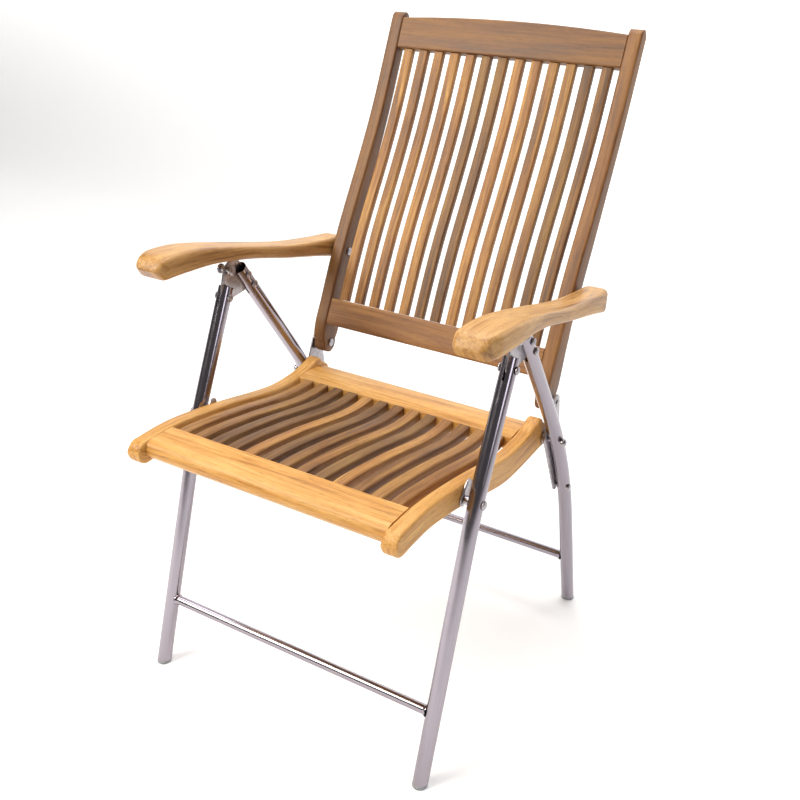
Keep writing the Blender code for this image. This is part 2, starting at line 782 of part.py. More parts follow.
def board(start, end, near, far):
    """A strip that follows the stiles' front edge, from near to far behind it."""
    face = stretch(front_edge(), start, end)
    sides = ([], [])
    for i, here in enumerate(face):
        before, after = Vector(face[max(i - 1, 0)]), Vector(face[min(i + 1, len(face) - 1)])
        way = (after - before).normalized()
        behind = Vector((way.y, -way.x))
        sides[0].append(tuple(Vector(here) + behind * near))
        sides[1].append(tuple(Vector(here) + behind * far))
    return sides[0] + sides[1][::-1]


def distance_at_height(path, z):
    """How far along a rising path its z is reached."""
    total = lengths(path)
    for (a, b), start in zip(zip(path, path[1:]), total):
        if a[1] <= z <= b[1]:
            return start + (z - a[1]) / (b[1] - a[1]) * hypot(b[0] - a[0], b[1] - a[1])
    return total[-1]


def top_rail_mesh(lower):
    """A board between the stiles with an arched upper edge, tilted with the back."""
    place, way = point_along(front_edge(), lower + TOP_RAIL_H / 2)
    half = BACK_INNER - GAP
    rise = (half**2 + TOP_RAIL_CROWN**2) / (2 * TOP_RAIL_CROWN)
    swing = 90 - atan2(rise - TOP_RAIL_CROWN, half) * 180 / pi
    crown = arc((0, TOP_RAIL_H / 2 + TOP_RAIL_CROWN - rise), rise, 90 - swing, 90 + swing, 12)
    outline = [(-half, -TOP_RAIL_H / 2), (half, -TOP_RAIL_H / 2), *crown]
    tilt = Matrix.Rotation(atan2(way.y, way.x), 4, "X")
    depth = (-RAIL_SET_BACK - BACK_RAIL_T, -RAIL_SET_BACK)
    return solid_from_outline(outline, depth, Matrix.Translation((0, place.x, place.y)) @ tilt)


def back(chair, hinge):
    inner = BACK_INNER - GAP
    for word, side in SIDES:
        blank = side_solid(stile_outline(), span(side, BACK_INNER, BACK_INNER + STILE_W))
        stile = baked(chair, blank, 0.004, 2, 50)
        reach = span(side, TRACK - 0.065, TRACK - 0.005)
        holes = [pin(place, reach, BOLT_R + RUNNING) for place in (BACK_PIVOT, ARM_PIVOT)]
        chair.add(f"back_stile_{word}", cut(chair, stile, *holes), chair.brown_teak, hinge)
    top = distance_at_height(front_edge(), TOP_RAIL_Z)
    rail = chair.add("back_top_rail", top_rail_mesh(top), chair.brown_teak, hinge)
    rounded(rail, 0.003, 2)
    foot = distance_at_height(front_edge(), BOTTOM_RAIL_Z)
    behind = (RAIL_SET_BACK, RAIL_SET_BACK + BACK_RAIL_T)
    lower = side_solid(board(foot, foot + BOTTOM_RAIL_H, *behind), (-inner, inner))
    rounded(chair.add("back_bottom_rail", lower, chair.brown_teak, hinge), 0.003, 2)
    outline = board(foot + BOTTOM_RAIL_H + GAP, top - 0.0008, SLAT_SET_BACK, SLAT_SET_BACK + BACK_SLAT_T)
    for number, x in enumerate(slat_centres(BACK_INNER, BACK_SLAT_W), 1):
        mesh = side_solid(outline, (x - BACK_SLAT_W / 2, x + BACK_SLAT_W / 2))
        slat = chair.add(f"back_slat_{number:02d}", mesh, chair.brown_teak, hinge)
        rounded(slat, 0.0022, 1, 60)


# ---------------------------------------------------------------- arms


def arm_plan(side):
    """The plank seen from above: straight inside, waisted outside, round at the nose."""
    outer = [(ARM_INNER + width, y) for y, width in through([(y, w) for y, w in ARM_PLAN], 3)]
    nose = [
        (ARM_INNER + 0.054, 0.026),
        (ARM_INNER + 0.040, 0.016),
        (ARM_INNER + 0.018, 0.016),
        (ARM_INNER + 0.004, 0.026),
        (ARM_INNER, 0.042),
    ]
    rear = [(ARM_INNER, 0.508), (ARM_INNER + 0.006, 0.516), (ARM_INNER + 0.038, 0.5175)]
    outline = [(side * x, y) for x, y in (*outer, *nose, *rear)]
    return outline if side > 0 else outline[::-1]


def arm_mesh(chair, side):
    wide = span(side, ARM_INNER - 0.02, ARM_INNER + ARM_WIDTH + 0.02)
    profile = side_solid([*through(ARM_TOP, 3), *through(ARM_BOTTOM, 3)], wide)
    plan = plan_solid(arm_plan(side), (0.55, 0.80))
    plank = combine(chair, profile, [plan], "INTERSECT")
    plank = baked(chair, plank, ARM_ROUND, 2, 50)
    hole = pin(ARM_PIVOT, span(side, ARM_INNER - 0.02, ARM_INNER + 0.032), BOLT_R + RUNNING)
    groove = side_solid(groove_outline(), span(side, TRACK - GROOVE_HALF, TRACK + GROOVE_HALF))
    return cut(chair, plank, hole, groove)


def groove_outline():
    """The slot in the arm's underside for the lock rail and the lock pin."""
    low = between(through(ARM_BOTTOM, 3), GROOVE_ENDS[1], GROOVE_ENDS[0])
    under = [(y, z - 0.004) for y, z in low]
    roof = [(y, z + GROOVE_ROOF) for y, z in low]
    return under + roof[::-1]


def lock_rails(chair, hinge):
    """The notched steel strip in each arm's groove, just above the lock pin."""
    line = through(ARM_BOTTOM, 3)
    slope = (ARM_PIVOT[1] - LOCK_PIN[1]) / (ARM_PIVOT[0] - LOCK_PIN[0])
    tip_z = LOCK_PIN[1] + LOCK_PIN_R + 0.001
    top = [(y, z + GROOVE_ROOF - GAP) for y, z in between(line, LOCK_RAIL_ENDS[1], LOCK_RAIL_ENDS[0])]
    teeth = [(y, tip_z + slope * (y - LOCK_PIN[0])) for y in LOCK_RAIL_ENDS]
    for word, side in SIDES:
        notches = [
            pin(
                (LOCK_PIN[0] - LOCK_PITCH * i, tip_z - slope * LOCK_PITCH * i),
                span(side, TRACK - 0.01, TRACK + 0.01),
                LOCK_NOTCH_R,
            )
            for i in range(LOCK_NOTCHES)
        ]
        plate = side_solid([*top, *teeth], span(side, TRACK + 0.0022, TRACK + 0.0052))
        chair.add(f"arm_lock_rail_{word}", cut(chair, plate, *notches), chair.steel, hinge)


def arms(chair):
    hinge = chair.axis("arm_hinge", ARM_PIVOT)
    for word, side in SIDES:
        chair.add(f"arm_{word}", arm_mesh(chair, side), chair.brown_teak, hinge)
    lock_rails(chair, hinge)
    arm_bolts(chair, hinge)


# ---------------------------------------------------------------- the whole chair


def centre_on_depth(chair):
    """Moves the chair so that its depth is centred on y = 0."""
    bpy.context.view_layer.update()
    graph = bpy.context.evaluated_depsgraph_get()
    ys = []
    for piece in chair.parts.objects:
        if piece.type == "MESH":
            shape = piece.evaluated_get(graph)
            ys += [(shape.matrix_world @ Vector(corner)).y for corner in shape.bound_box]
    chair.origin.location.y = -(min(ys) + max(ys)) / 2


def main():
    chair = Chair()
    front_legs(chair)
    rear_legs(chair)
    gussets(chair)
    hinge_plates(chair)
    seat(chair)
    back_hinge = chair.axis("back_hinge", BACK_PIVOT)
    back(chair, back_hinge)
    back_bolts(chair, back_hinge)
    arms(chair)
    centre_on_depth(chair)


main()
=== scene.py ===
"""Looks of the high-back folding armchair: teak slats and frames on bent stainless tube legs.

Metres, +Z up, the sitter faces -Y. Profiles are side-view (y, z) points with y counted from the front
feet; DEPTH_SHIFT moves them to the row frame, whose y = 0 is the middle of the chair's depth.
"""

import logging
from dataclasses import dataclass, field
from enum import Enum
from math import atan2, cos, hypot, pi, radians, sin

import bmesh
import bpy
import numpy as np
from mathutils import Matrix, Vector, geometry


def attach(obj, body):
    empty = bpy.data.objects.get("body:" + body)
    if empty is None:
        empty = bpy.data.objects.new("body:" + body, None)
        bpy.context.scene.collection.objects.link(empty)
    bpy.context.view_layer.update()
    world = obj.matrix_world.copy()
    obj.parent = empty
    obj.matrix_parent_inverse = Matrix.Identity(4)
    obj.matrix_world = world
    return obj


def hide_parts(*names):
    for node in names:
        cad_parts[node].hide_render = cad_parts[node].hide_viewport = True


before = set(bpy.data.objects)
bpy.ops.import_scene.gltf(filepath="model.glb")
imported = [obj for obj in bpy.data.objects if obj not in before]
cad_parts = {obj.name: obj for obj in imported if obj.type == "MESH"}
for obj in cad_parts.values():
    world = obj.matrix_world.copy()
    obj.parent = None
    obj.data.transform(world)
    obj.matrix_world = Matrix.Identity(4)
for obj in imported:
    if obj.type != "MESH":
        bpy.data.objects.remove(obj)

log = logging.getLogger("armchair")

Point = tuple[float, float]
DEPTH_SHIFT = -0.305024
GAP = 0.0003
SIDES = (1, -1)  # the sitter's left, then right


class Body(Enum):
    """The CAD bodies that pieces ride on."""

    REAR = "rear_frame"
    FRONT = "front_frame"
    SEAT = "seat"
    BACK = "back"
    ARMS = "arms"


class Slot(Enum):
    """The record's material slots."""

    TUBE = "tube_steel"
    PLATE = "plate_steel"
    BOLT = "bolt_steel"
    PLASTIC = "foot_plastic"
    SEAT_FRAME = "seat_frame_teak"
    SLAT = "slat_teak"
    BACK_FRAME = "back_frame_teak"
    ARM = "arm_teak"


# ---------------------------------------------------------------- curves in the side view


def arc(centre: Point, radius: float, start: float, end: float, steps: int) -> list[Point]:
    """Points on a circle.

    Args:
        centre: The circle's middle.
        radius: Its radius.
        start: First angle in degrees.
        end: Last angle in degrees.
        steps: Straight pieces between them.

    Returns:
        The points, both ends included.
    """
    turns = [radians(start + (end - start) * i / steps) for i in range(steps + 1)]
    return [(centre[0] + radius * cos(t), centre[1] + radius * sin(t)) for t in turns]


def through(points: list[Point], spans: int = 10) -> list[Point]:
    """A smooth curve through some points.

    Args:
        points: What it passes through.
        spans: Straight pieces between each two.

    Returns:
        The curve's points.
    """
    ends = [points[0], *points, points[-1]]
    curve = [points[0]]
    for four in zip(ends, ends[1:], ends[2:], ends[3:]):
        before, start, end, after = (Vector(p) for p in four)
        for i in range(1, spans + 1):
            t = i / spans
            place = (
                (2 * t**3 - 3 * t**2 + 1) * start
                + (t**3 - 2 * t**2 + t) * (end - before) / 2
                + (3 * t**2 - 2 * t**3) * end
                + (t**3 - t**2) * (after - start) / 2
            )
            curve.append(tuple(place))
    return curve


def height_at(curve: list[Point], y: float) -> float:
    """The z where a curve passes y, or the z of its nearer end.

    Args:
        curve: The curve.
        y: Where to read it.

    Returns:
        The height.
    """
    for (y0, z0), (y1, z1) in zip(curve, curve[1:]):
        if min(y0, y1) <= y <= max(y0, y1) and y0 != y1:
            return z0 + (z1 - z0) * (y - y0) / (y1 - y0)
    return curve[0][1] if abs(y - curve[0][0]) < abs(y - curve[-1][0]) else curve[-1][1]


def lengths(path: list[Point]) -> list[float]:
    """The distance along a path at each of its points.

    Args:
        path: The path.

    Returns:
        One distance for each point.
    """
    total = [0.0]
    for a, b in zip(path, path[1:]):
        total.append(total[-1] + hypot(b[0] - a[0], b[1] - a[1]))
    return total


def point_along(path: list[Point], distance: float) -> tuple[Vector, Vector]:
    """Where a path is at a distance along it.

    Args:
        path: The path.
        distance: How far along.

    Returns:
        The point and the path's direction there.
    """
    total = lengths(path)
    i = 0
    while i < len(path) - 2 and total[i + 1] < distance:
        i += 1
    a, b = Vector(path[i]), Vector(path[i + 1])
    way = (b - a).normalized()
    return a + way * (distance - total[i]), way


def distance_at_height(path: list[Point], z: float) -> float:
    """How far along a rising path its z is reached.

    Args:
        path: The path.
        z: The height.

    Returns:
        The distance.
    """
    total = lengths(path)
    for (a, b), start in zip(zip(path, path[1:]), total):
        if a[1] <= z <= b[1]:
            return start + (z - a[1]) / (b[1] - a[1]) * hypot(b[0] - a[0], b[1] - a[1])
    return total[-1]


def bent(corners: tuple[Point, Point, Point], radius: float, steps: int = 28) -> list[Point]:
    """A path through three corners with its bend rounded.

    Args:
        corners: Start, knee and end.
        radius: The bend's radius.
        steps: Straight pieces in the bend.

    Returns:
        The path.
    """
    start, knee, end = (Vector(p) for p in corners)
    back, on = (start - knee).normalized(), (end - knee).normalized()
    turn = pi - back.angle(on)
    trim = radius * abs(turn) / 2
    centre = knee + (back + on).normalized() * radius / cos(turn / 2)
    first, last = knee + back * trim - centre, knee + on * trim - centre
    a0, a1 = atan2(first.y, first.x), atan2(last.y, last.x)
    if abs(a1 - a0) > pi:
        a1 += 2 * pi if a1 < a0 else -2 * pi
    turns = [a0 + (a1 - a0) * i / steps for i in range(steps + 1)]
    curve = [(centre.x + radius * cos(t), centre.y + radius * sin(t)) for t in turns]
    return [corners[0], *curve, corners[2]]


def cut_across(outline: list[Point], at: float, axis: int) -> tuple[float, float]:
    """The span of a closed outline on one line across it.

    Args:
        outline: The outline.
        at: The line's place on the axis.
        axis: 0 for a line at y, 1 for a line at z.

    Returns:
        The lowest and highest value of the other coordinate.
    """
    found = []
    for a, b in zip(outline, [*outline[1:], outline[0]]):
        low, high = sorted((a[axis], b[axis]))
        if low <= at <= high and high > low:
            t = (at - a[axis]) / (b[axis] - a[axis])
            found.append(a[1 - axis] + (b[1 - axis] - a[1 - axis]) * t)
    return min(found), max(found)


def crowded_ends(start: float, end: float, count: int, inset: float = 0.00015) -> list[float]:
    """Values that crowd towards both ends, so that a rounded end stays round.

    Args:
        start: First end.
        end: Last end.
        count: How many values.
        inset: How far inside the ends the outer values stay.

    Returns:
        The values, in order.
    """
    low, high = start + inset, end - inset
    values = []
    for i in range(count):
        t = i / (count - 1)
        eased = 0.5 - 0.5 * cos(pi * t)
        values.append(low + (high - low) * (0.35 * t + 0.65 * eased))
    return values


def around_discs(discs: list[tuple[Point, float]], steps: int = 56) -> list[Point]:
    """The outline of a plate that just covers some discs.

    Args:
        discs: Each disc's centre and radius.
        steps: Points round each disc.

    Returns:
        The outline.
    """
    points = [p for centre, radius in discs for p in arc(centre, radius, 0, 360, steps)[:-1]]
    return [points[i] for i in geometry.convex_hull_2d(points)]


def grown(outline: list[Point], by: float) -> list[Point]:
    """A convex outline moved outwards, or inwards where by is negative.

    Args:
        outline: The outline, anticlockwise.
        by: The distance.

    Returns:
        The moved outline.
    """
    moved = []
    for i, here in enumerate(outline):
        before, after = Vector(outline[i - 1]), Vector(outline[(i + 1) % len(outline)])
        way = (after - before).normalized()
        moved.append((here[0] + way.y * by, here[1] - way.x * by))
    return moved


def filleted(outline: list[Point], radius: float, steps: int = 4) -> list[Point]:
    """An outline with each sharp corner rounded.

    Args:
        outline: The closed outline.
        radius: The rounding at a corner.
        steps: Straight pieces in each rounding.

    Returns:
        The rounded outline.
    """
    smooth: list[Point] = []
    for i, here in enumerate(outline):
        corner = Vector(here)
        back = Vector(outline[i - 1]) - corner
        on = Vector(outline[(i + 1) % len(outline)]) - corner
        if abs(pi - back.angle(on)) < radians(24):
            smooth.append(here)
            continue
        reach = min(radius, back.length * 0.45, on.length * 0.45)
        a, b = corner + back.normalized() * reach, corner + on.normalized() * reach
        for k in range(steps + 1):
            t = k / steps
            smooth.append(tuple(a * (1 - t) ** 2 + corner * 2 * t * (1 - t) + b * t**2))
    return smooth


# ---------------------------------------------------------------- skins


@dataclass
class Skin:
    """Points and faces of one piece, with the wood's own coordinates at each point.

    Attributes:
        points: Places in the row frame.
        faces: Point numbers of each face.
        grain: Across, along and through the board at each point, in metres.
        tone: A number from 0 to 1 for each point, the same over one board.
    """

    points: list[Vector] = field(default_factory=list)
    faces: list[tuple[int, ...]] = field(default_factory=list)
    grain: list[Vector] = field(default_factory=list)
    tone: list[float] = field(default_factory=list)

    def loft(self, rings: list[list[Vector]], grain: list[list[Vector]], tone: float = 0.5) -> None:
        """Adds a closed skin over rings of points.

        Args:
            rings: Equally many points in each ring, in profile coordinates.
            grain: The wood's coordinates at each point.
            tone: The board's tone.
        """
        start, around = len(self.points), len(rings[0])
        for ring, coordinates in zip(rings, grain):
            self.points += [Vector((p[0], p[1] + DEPTH_SHIFT, p[2])) for p in ring]
            self.grain += coordinates
            self.tone += [tone] * around
        for i in range(len(rings) - 1):
            a, b = start + i * around, start + (i + 1) * around
            for j in range(around):
                k = (j + 1) % around
                self.faces.append((a + j, a + k, b + k, b + j))
        last = start + (len(rings) - 1) * around
        self.faces.append(tuple(start + j for j in range(around)))
        self.faces.append(tuple(last + j for j in range(around)))

    def mesh(self, name: str, toned: bool = True) -> bpy.types.Mesh:
        """The skin as a mesh with its faces pointing out.

        Args:
            name: The mesh's name.
            toned: Whether it carries its tone, which a row of copies sets itself.

        Returns:
            The mesh.
        """
        made = bpy.data.meshes.new(name)
        made.from_pydata([tuple(p) for p in self.points], [], self.faces)
        along = made.attributes.new("grain", "FLOAT_VECTOR", "POINT")
        along.data.foreach_set("vector", np.array(self.grain, np.float32).ravel())
        if toned:
            shade = made.attributes.new("tone", "FLOAT", "POINT")
            shade.data.foreach_set("value", np.array(self.tone, np.float32))
        return facing_out(made)


def facing_out(mesh: bpy.types.Mesh, angle: float = 38.0) -> bpy.types.Mesh:
    """Turns a mesh's faces outwards and smooths it up to an angle.

    Args:
        mesh: The mesh.
        angle: Edges sharper than this stay sharp, in degrees.

    Returns:
        The same mesh.
    """
    work = bmesh.new()
    work.from_mesh(mesh)
    bmesh.ops.recalc_face_normals(work, faces=work.faces)
    work.to_mesh(mesh)
    work.free()
    mesh.shade_smooth()
    mesh.set_sharp_from_angle(angle=radians(angle))
    return mesh


def rounded_rectangle(width: float, height: float, corner: float, steps: int = 5) -> list[Point]:
    """Points round a rectangle from (0, 0) to (width, height) with round corners.

    Args:
        width: Its width.
        height: Its height.
        corner: The corners' radius, held under half of either side.
        steps: Straight pieces in each corner.

    Returns:
        The points, anticlockwise.
    """
    r = min(corner, width * 0.4995, height * 0.4995)
    corners = ((width - r, height - r, 0), (r, height - r, 90), (r, r, 180), (width - r, r, 270))
    return [p for x, y, turn in corners for p in arc((x, y), r, turn, turn + 90, steps)]


@dataclass(frozen=True)
class Station:
    """One cross-section of a board that runs fore and aft or up.

    Attributes:
        low: The section's first edge in the side view.
        high: Its opposite edge.
        x: Its inner and outer x.
        along: Distance along the board.
    """

    low: Point
    high: Point
    x: Point
    along: float


def lofted_board(skin: Skin, stations: list[Station], corner: float, tone: float) -> None:
    """Adds a board with rounded corners through its stations.

    Args:
        skin: What it's added to.
        stations: Its cross-sections in order.
        corner: The radius of its long edges.
        tone: The board's tone.
    """
    rings, grain = [], []
    for station in stations:
        low, high = Vector(station.low), Vector(station.high)
        up = (high - low).normalized()
        x0, x1 = sorted(station.x)
        section = rounded_rectangle(x1 - x0, (high - low).length, corner)
        places = [(x0 + w, low + up * h, h) for w, h in section]
        rings.append([Vector((x, p.x, p.y)) for x, p, _ in places])
        grain.append([Vector((x, station.along, h)) for x, _, h in places])
    skin.loft(rings, grain, tone)


def lofted_across(skin: Skin, outlines: list[tuple[float, list[Point]]], tone: float) -> None:
    """Adds a rail that runs across the chair.

    Args:
        skin: What it's added to.
        outlines: Its section at each x.
        tone: The rail's tone.
    """
    rings = [[Vector((x, y, z)) for y, z in outline] for x, outline in outlines]
    grain = [[Vector((y, x, z)) for y, z in outline] for x, outline in outlines]
    skin.loft(rings, grain, tone)


def turned(skin: Skin, place: Point, side: int, profile: list[Point], steps: int = 40) -> None:
    """Adds a round piece whose axis runs across the chair.

    Args:
        skin: What it's added to.
        place: The axis in the side view.
        side: 1 or -1.
        profile: (x, radius) points along the axis.
        steps: Points round it.
    """
    rings = []
    for x, radius in profile:
        circle = arc(place, max(radius, 1e-5), 0, 360, steps)[:-1]
        rings.append([Vector((side * x, y, z)) for y, z in circle])
    skin.loft(rings, [list(ring) for ring in rings])


def plate_skin(skin: Skin, outline: list[Point], x: Point, ease: float = 0.0005) -> None:
    """Adds a flat plate with eased edges.

    Args:
        skin: What it's added to.
        outline: Its outline in the side view, anticlockwise.
        x: Its two faces.
        ease: The size of the eased edge.
    """
    x0, x1 = sorted(x)
    layers = ((x0, -ease), (x0 + ease * 0.4, -ease * 0.4), (x0 + ease, 0.0))
    layers += ((x1 - ease, 0.0), (x1 - ease * 0.4, -ease * 0.4), (x1, -ease))
    rings = [[Vector((at, *p)) for p in grown(outline, by)] for at, by in layers]
    skin.loft(rings, [list(ring) for ring in rings])


def prism(name: str, outline: list[Point], x: Point) -> bpy.types.Mesh:
    """A plain cutter between two x values.

    Args:
        name: The mesh's name.
        outline: Its outline in the side view.
        x: Its two faces.

    Returns:
        The mesh.
    """
    skin = Skin()
    rings = [[Vector((at, *p)) for p in outline] for at in sorted(x)]
    skin.loft(rings, [list(ring) for ring in rings])
    return skin.mesh(name)


# ---------------------------------------------------------------- geometry nodes


class Tree:
    """A node tree while it is being built: adds a node with its settings and links in one call."""

    def __init__(self, tree: bpy.types.NodeTree) -> None:
        self.tree = tree

    def add(self, kind: str, inputs: dict | None = None, **settings: object) -> bpy.types.Node:
        """Adds one node.

        Args:
            kind: The node's type name.
            inputs: For each input's name or number, a value or another node's output.
            settings: The node's own properties.

        Returns:
            The node.
        """
        node = self.tree.nodes.new(kind)
        for key, value in settings.items():
            setattr(node, key, value)
        for key, value in (inputs or {}).items():
            named = [s for s in node.inputs if s.enabled and s.name == key]
            socket = node.inputs[key] if isinstance(key, int) else named[0]
            if isinstance(value, bpy.types.NodeSocket):
                self.tree.links.new(value, socket)
            else:
                socket.default_value = value
        return node

    def link(self, source: bpy.types.NodeSocket, target: bpy.types.NodeSocket) -> None:
        """Links two sockets.

        Args:
            source: The output.
            target: The input.
        """
        self.tree.links.new(source, target)

    def noise(
        self, place: bpy.types.NodeSocket, detail: float, roughness: float = 0.5, scale: float = 1.0
    ) -> bpy.types.Node:
        """Adds a noise texture.

        Args:
            place: Where it's read.
            detail: How many finer layers it has.
            roughness: How strong each finer layer is.
            scale: How many features there are in a metre.

        Returns:
            The node.
        """
        inputs = {"Vector": place, "Scale": scale, "Detail": detail, "Roughness": roughness}
        return self.add("ShaderNodeTexNoise", inputs)

    def relief(
        self, surface: bpy.types.Node, height: bpy.types.NodeSocket, strength: float, distance: float
    ) -> None:
        """Gives a surface fine relief.

        Args:
            surface: The surface's shader.
            height: The relief's height.
            strength: How much of it shows.
            distance: Its depth in metres.
        """
        bump = self.add("ShaderNodeBump", {"Height": height, "Strength": strength, "Distance": distance})
        self.link(bump.outputs["Normal"], surface.inputs["Normal"])


def out(node: bpy.types.Node, name: str) -> bpy.types.NodeSocket:
    """A node's output that is in use, by name.

    Args:
        node: The node.
        name: The output's name.

    Returns:
        The socket.
    """
    return next(s for s in node.outputs if s.enabled and s.name == name)


class Generators:
    """The three geometry-node trees: a row of slats, fasteners on points, a tube along a path."""

    def __init__(self) -> None:
        self.row = self._row()
        self.fasteners = self._fasteners()
        self.sweep = self._sweep()

    @staticmethod
    def _start(name: str, sockets: dict[str, str]) -> tuple[Tree, bpy.types.Node]:
        """A new tree with named inputs and one geometry output.

        Args:
            name: The tree's name.
            sockets: The inputs' names and types.

        Returns:
            The tree and its input node.
        """
        group = bpy.data.node_groups.new(name, "GeometryNodeTree")
        for label, kind in {"Geometry": "NodeSocketGeometry", **sockets}.items():
            group.interface.new_socket(label, in_out="INPUT", socket_type=kind)
        group.interface.new_socket("Geometry", in_out="OUTPUT", socket_type="NodeSocketGeometry")
        tree = Tree(group)
        return tree, tree.add("NodeGroupInput")

    @staticmethod
    def _end(tree: Tree, given: bpy.types.Node, made: bpy.types.NodeSocket) -> bpy.types.NodeTree:
        """Ends a tree with real geometry that has its material.

        Args:
            tree: The tree.
            given: Its input node.
            made: The geometry so far.

        Returns:
            The finished tree.
        """
        real = tree.add("GeometryNodeRealizeInstances", {"Geometry": made})
        dressed = tree.add(
            "GeometryNodeSetMaterial",
            {"Geometry": real.outputs["Geometry"], "Material": given.outputs["Finish"]},
        )
        tree.add("NodeGroupOutput", {"Geometry": dressed.outputs["Geometry"]})
        return tree.tree

    def _row(self) -> bpy.types.NodeTree:
        """One board repeated at an even pitch, each copy with its own tone.

        Returns:
            The tree.
        """
        kinds = {
            "Count": "NodeSocketInt",
            "First": "NodeSocketVector",
            "Pitch": "NodeSocketVector",
            "Seed": "NodeSocketInt",
            "Finish": "NodeSocketMaterial",
        }
        tree, given = self._start("row_of_boards", kinds)
        line = tree.add(
            "GeometryNodeMeshLine",
            {
                "Count": given.outputs["Count"],
                "Start Location": given.outputs["First"],
                "Offset": given.outputs["Pitch"],
            },
        )
        copies = tree.add(
            "GeometryNodeInstanceOnPoints",
            {"Points": line.outputs["Mesh"], "Instance": given.outputs["Geometry"]},
        )
        chance = tree.add("FunctionNodeRandomValue", {"Seed": given.outputs["Seed"]}, data_type="FLOAT")
        toned = tree.add(
            "GeometryNodeStoreNamedAttribute",
            {"Geometry": copies.outputs["Instances"], "Name": "tone", "Value": out(chance, "Value")},
            data_type="FLOAT",
            domain="INSTANCE",
        )
        return self._end(tree, given, toned.outputs["Geometry"])

    def _fasteners(self) -> bpy.types.NodeTree:
        """A head set on each point, turned to face along the point's own direction.

        Returns:
            The tree.
        """
        kinds = {"Head": "NodeSocketObject", "Finish": "NodeSocketMaterial"}
        tree, given = self._start("fasteners_on_points", kinds)
        head = tree.add("GeometryNodeObjectInfo", {"Object": given.outputs["Head"]})
        facing = tree.add("GeometryNodeInputNamedAttribute", {"Name": "facing"}, data_type="FLOAT_VECTOR")
        turn = tree.add(
            "FunctionNodeAlignRotationToVector", {"Vector": out(facing, "Attribute")}, axis="Z"
        )
        copies = tree.add(
            "GeometryNodeInstanceOnPoints",
            {
                "Points": given.outputs["Geometry"],
                "Instance": head.outputs["Geometry"],
                "Rotation": turn.outputs["Rotation"],
            },
        )
        return self._end(tree, given, copies.outputs["Instances"])

    def _sweep(self) -> bpy.types.NodeTree:
        """A round tube along a path, which keeps the distance along it at each point.

        Returns:
            The tree.
        """
        kinds = {"Radius": "NodeSocketFloat", "Around": "NodeSocketInt", "Finish": "NodeSocketMaterial"}
        tree, given = self._start("tube_along_path", kinds)
        path = tree.add("GeometryNodeMeshToCurve", {"Mesh": given.outputs["Geometry"]})
        run = tree.add("GeometryNodeSplineParameter")
        marked = tree.add(
            "GeometryNodeStoreNamedAttribute",
            {"Geometry": path.outputs["Curve"], "Name": "run", "Value": run.outputs["Length"]},
            data_type="FLOAT",
            domain="POINT",
        )
        ring = tree.add(
            "GeometryNodeCurvePrimitiveCircle",
            {"Resolution": given.outputs["Around"], "Radius": given.outputs["Radius"]},
        )
        skin = tree.add(
            "GeometryNodeCurveToMesh",
            {
                "Curve": marked.outputs["Geometry"],
                "Profile Curve": ring.outputs["Curve"],
                "Fill Caps": True,
            },
        )
        return self._end(tree, given, skin.outputs["Mesh"])


class Workshop:
    def __init__(self) -> None:
        self.trees = Generators()

    def object(self, name: str, mesh: bpy.types.Mesh) -> bpy.types.Object:
        """A new object in the scene.

        Args:
            name: Its name.
            mesh: Its mesh.

        Returns:
            The object.
        """
        made = bpy.data.objects.new(name, mesh)
        bpy.context.scene.collection.objects.link(made)
        return made

    def settled(self, worked: bpy.types.Object) -> bpy.types.Mesh:
        """An object's evaluated mesh, after which the object is removed.

        Args:
            worked: The object with its modifiers.

        Returns:
            A plain mesh.
        """
        bpy.context.view_layer.update()
        graph = bpy.context.evaluated_depsgraph_get()
        mesh = bpy.data.meshes.new_from_object(worked.evaluated_get(graph))
        bpy.data.objects.remove(worked)
        return mesh

    def generated(self, mesh: bpy.types.Mesh, tree: bpy.types.NodeTree, values: dict) -> bpy.types.Mesh:
        """A mesh passed through a node tree.

        Args:
            mesh: What goes in.
            tree: The tree.
            values: For each named input, its value.

        Returns:
            What comes out, as a plain mesh.
        """
        worked = self.object("work", mesh)
        modifier = worked.modifiers.new("nodes", "NODES")
        modifier.node_group = tree
        for item in tree.interface.items_tree:
            if item.in_out == "INPUT" and item.name in values:
                modifier[item.identifier] = values[item.name]
        return self.settled(worked)

    def cut(self, mesh: bpy.types.Mesh, *tools: bpy.types.Mesh) -> bpy.types.Mesh:
        """A mesh with others cut from it.

        Args:
            mesh: The base.
            tools: What is cut away.

        Returns:
            The cut mesh.
        """
        worked = self.object("work", mesh)
        helpers = [self.object("tool", tool) for tool in tools]
        for helper in helpers:
            modifier = worked.modifiers.new("cut", "BOOLEAN")
            modifier.operation = "DIFFERENCE"
            modifier.object = helper
            modifier.solver = "EXACT"
        made = self.settled(worked)
        for helper in helpers:
            bpy.data.objects.remove(helper)
        return made

    def merged(self, name: str, meshes: list[bpy.types.Mesh]) -> bpy.types.Mesh:
        """Several meshes as one.

        Args:
            name: The new mesh's name.
            meshes: The meshes.

        Returns:
            The joined mesh.
        """
        work = bmesh.new()
        for mesh in meshes:
            work.from_mesh(mesh)
        made = bpy.data.meshes.new(name)
        work.to_mesh(made)
        work.free()
        return facing_out(made)

    def piece(
        self,
        name: str,
        mesh: bpy.types.Mesh,
        finish: bpy.types.Material,
        body: Body,
        slot: Slot,
        nodes: list[str],
    ) -> bpy.types.Object:
        """A finished piece of the chair.

        Args:
            name: Its name.
            mesh: Its mesh, in the row frame.
            finish: Its material.
            body: The body it rides on.
            slot: The record's slot its finish belongs to; not used.
            nodes: The CAD nodes it stands for.

        Returns:
            The object.
        """
        made = self.object(name, mesh)
        mesh.name = name
        mesh.materials.clear()
        mesh.materials.append(finish)
        for face in mesh.polygons:
            face.material_index = 0
        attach(made, body.value)
        if nodes:
            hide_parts(*nodes)
        log.info("%s: %d faces", name, len(mesh.polygons))
        return made


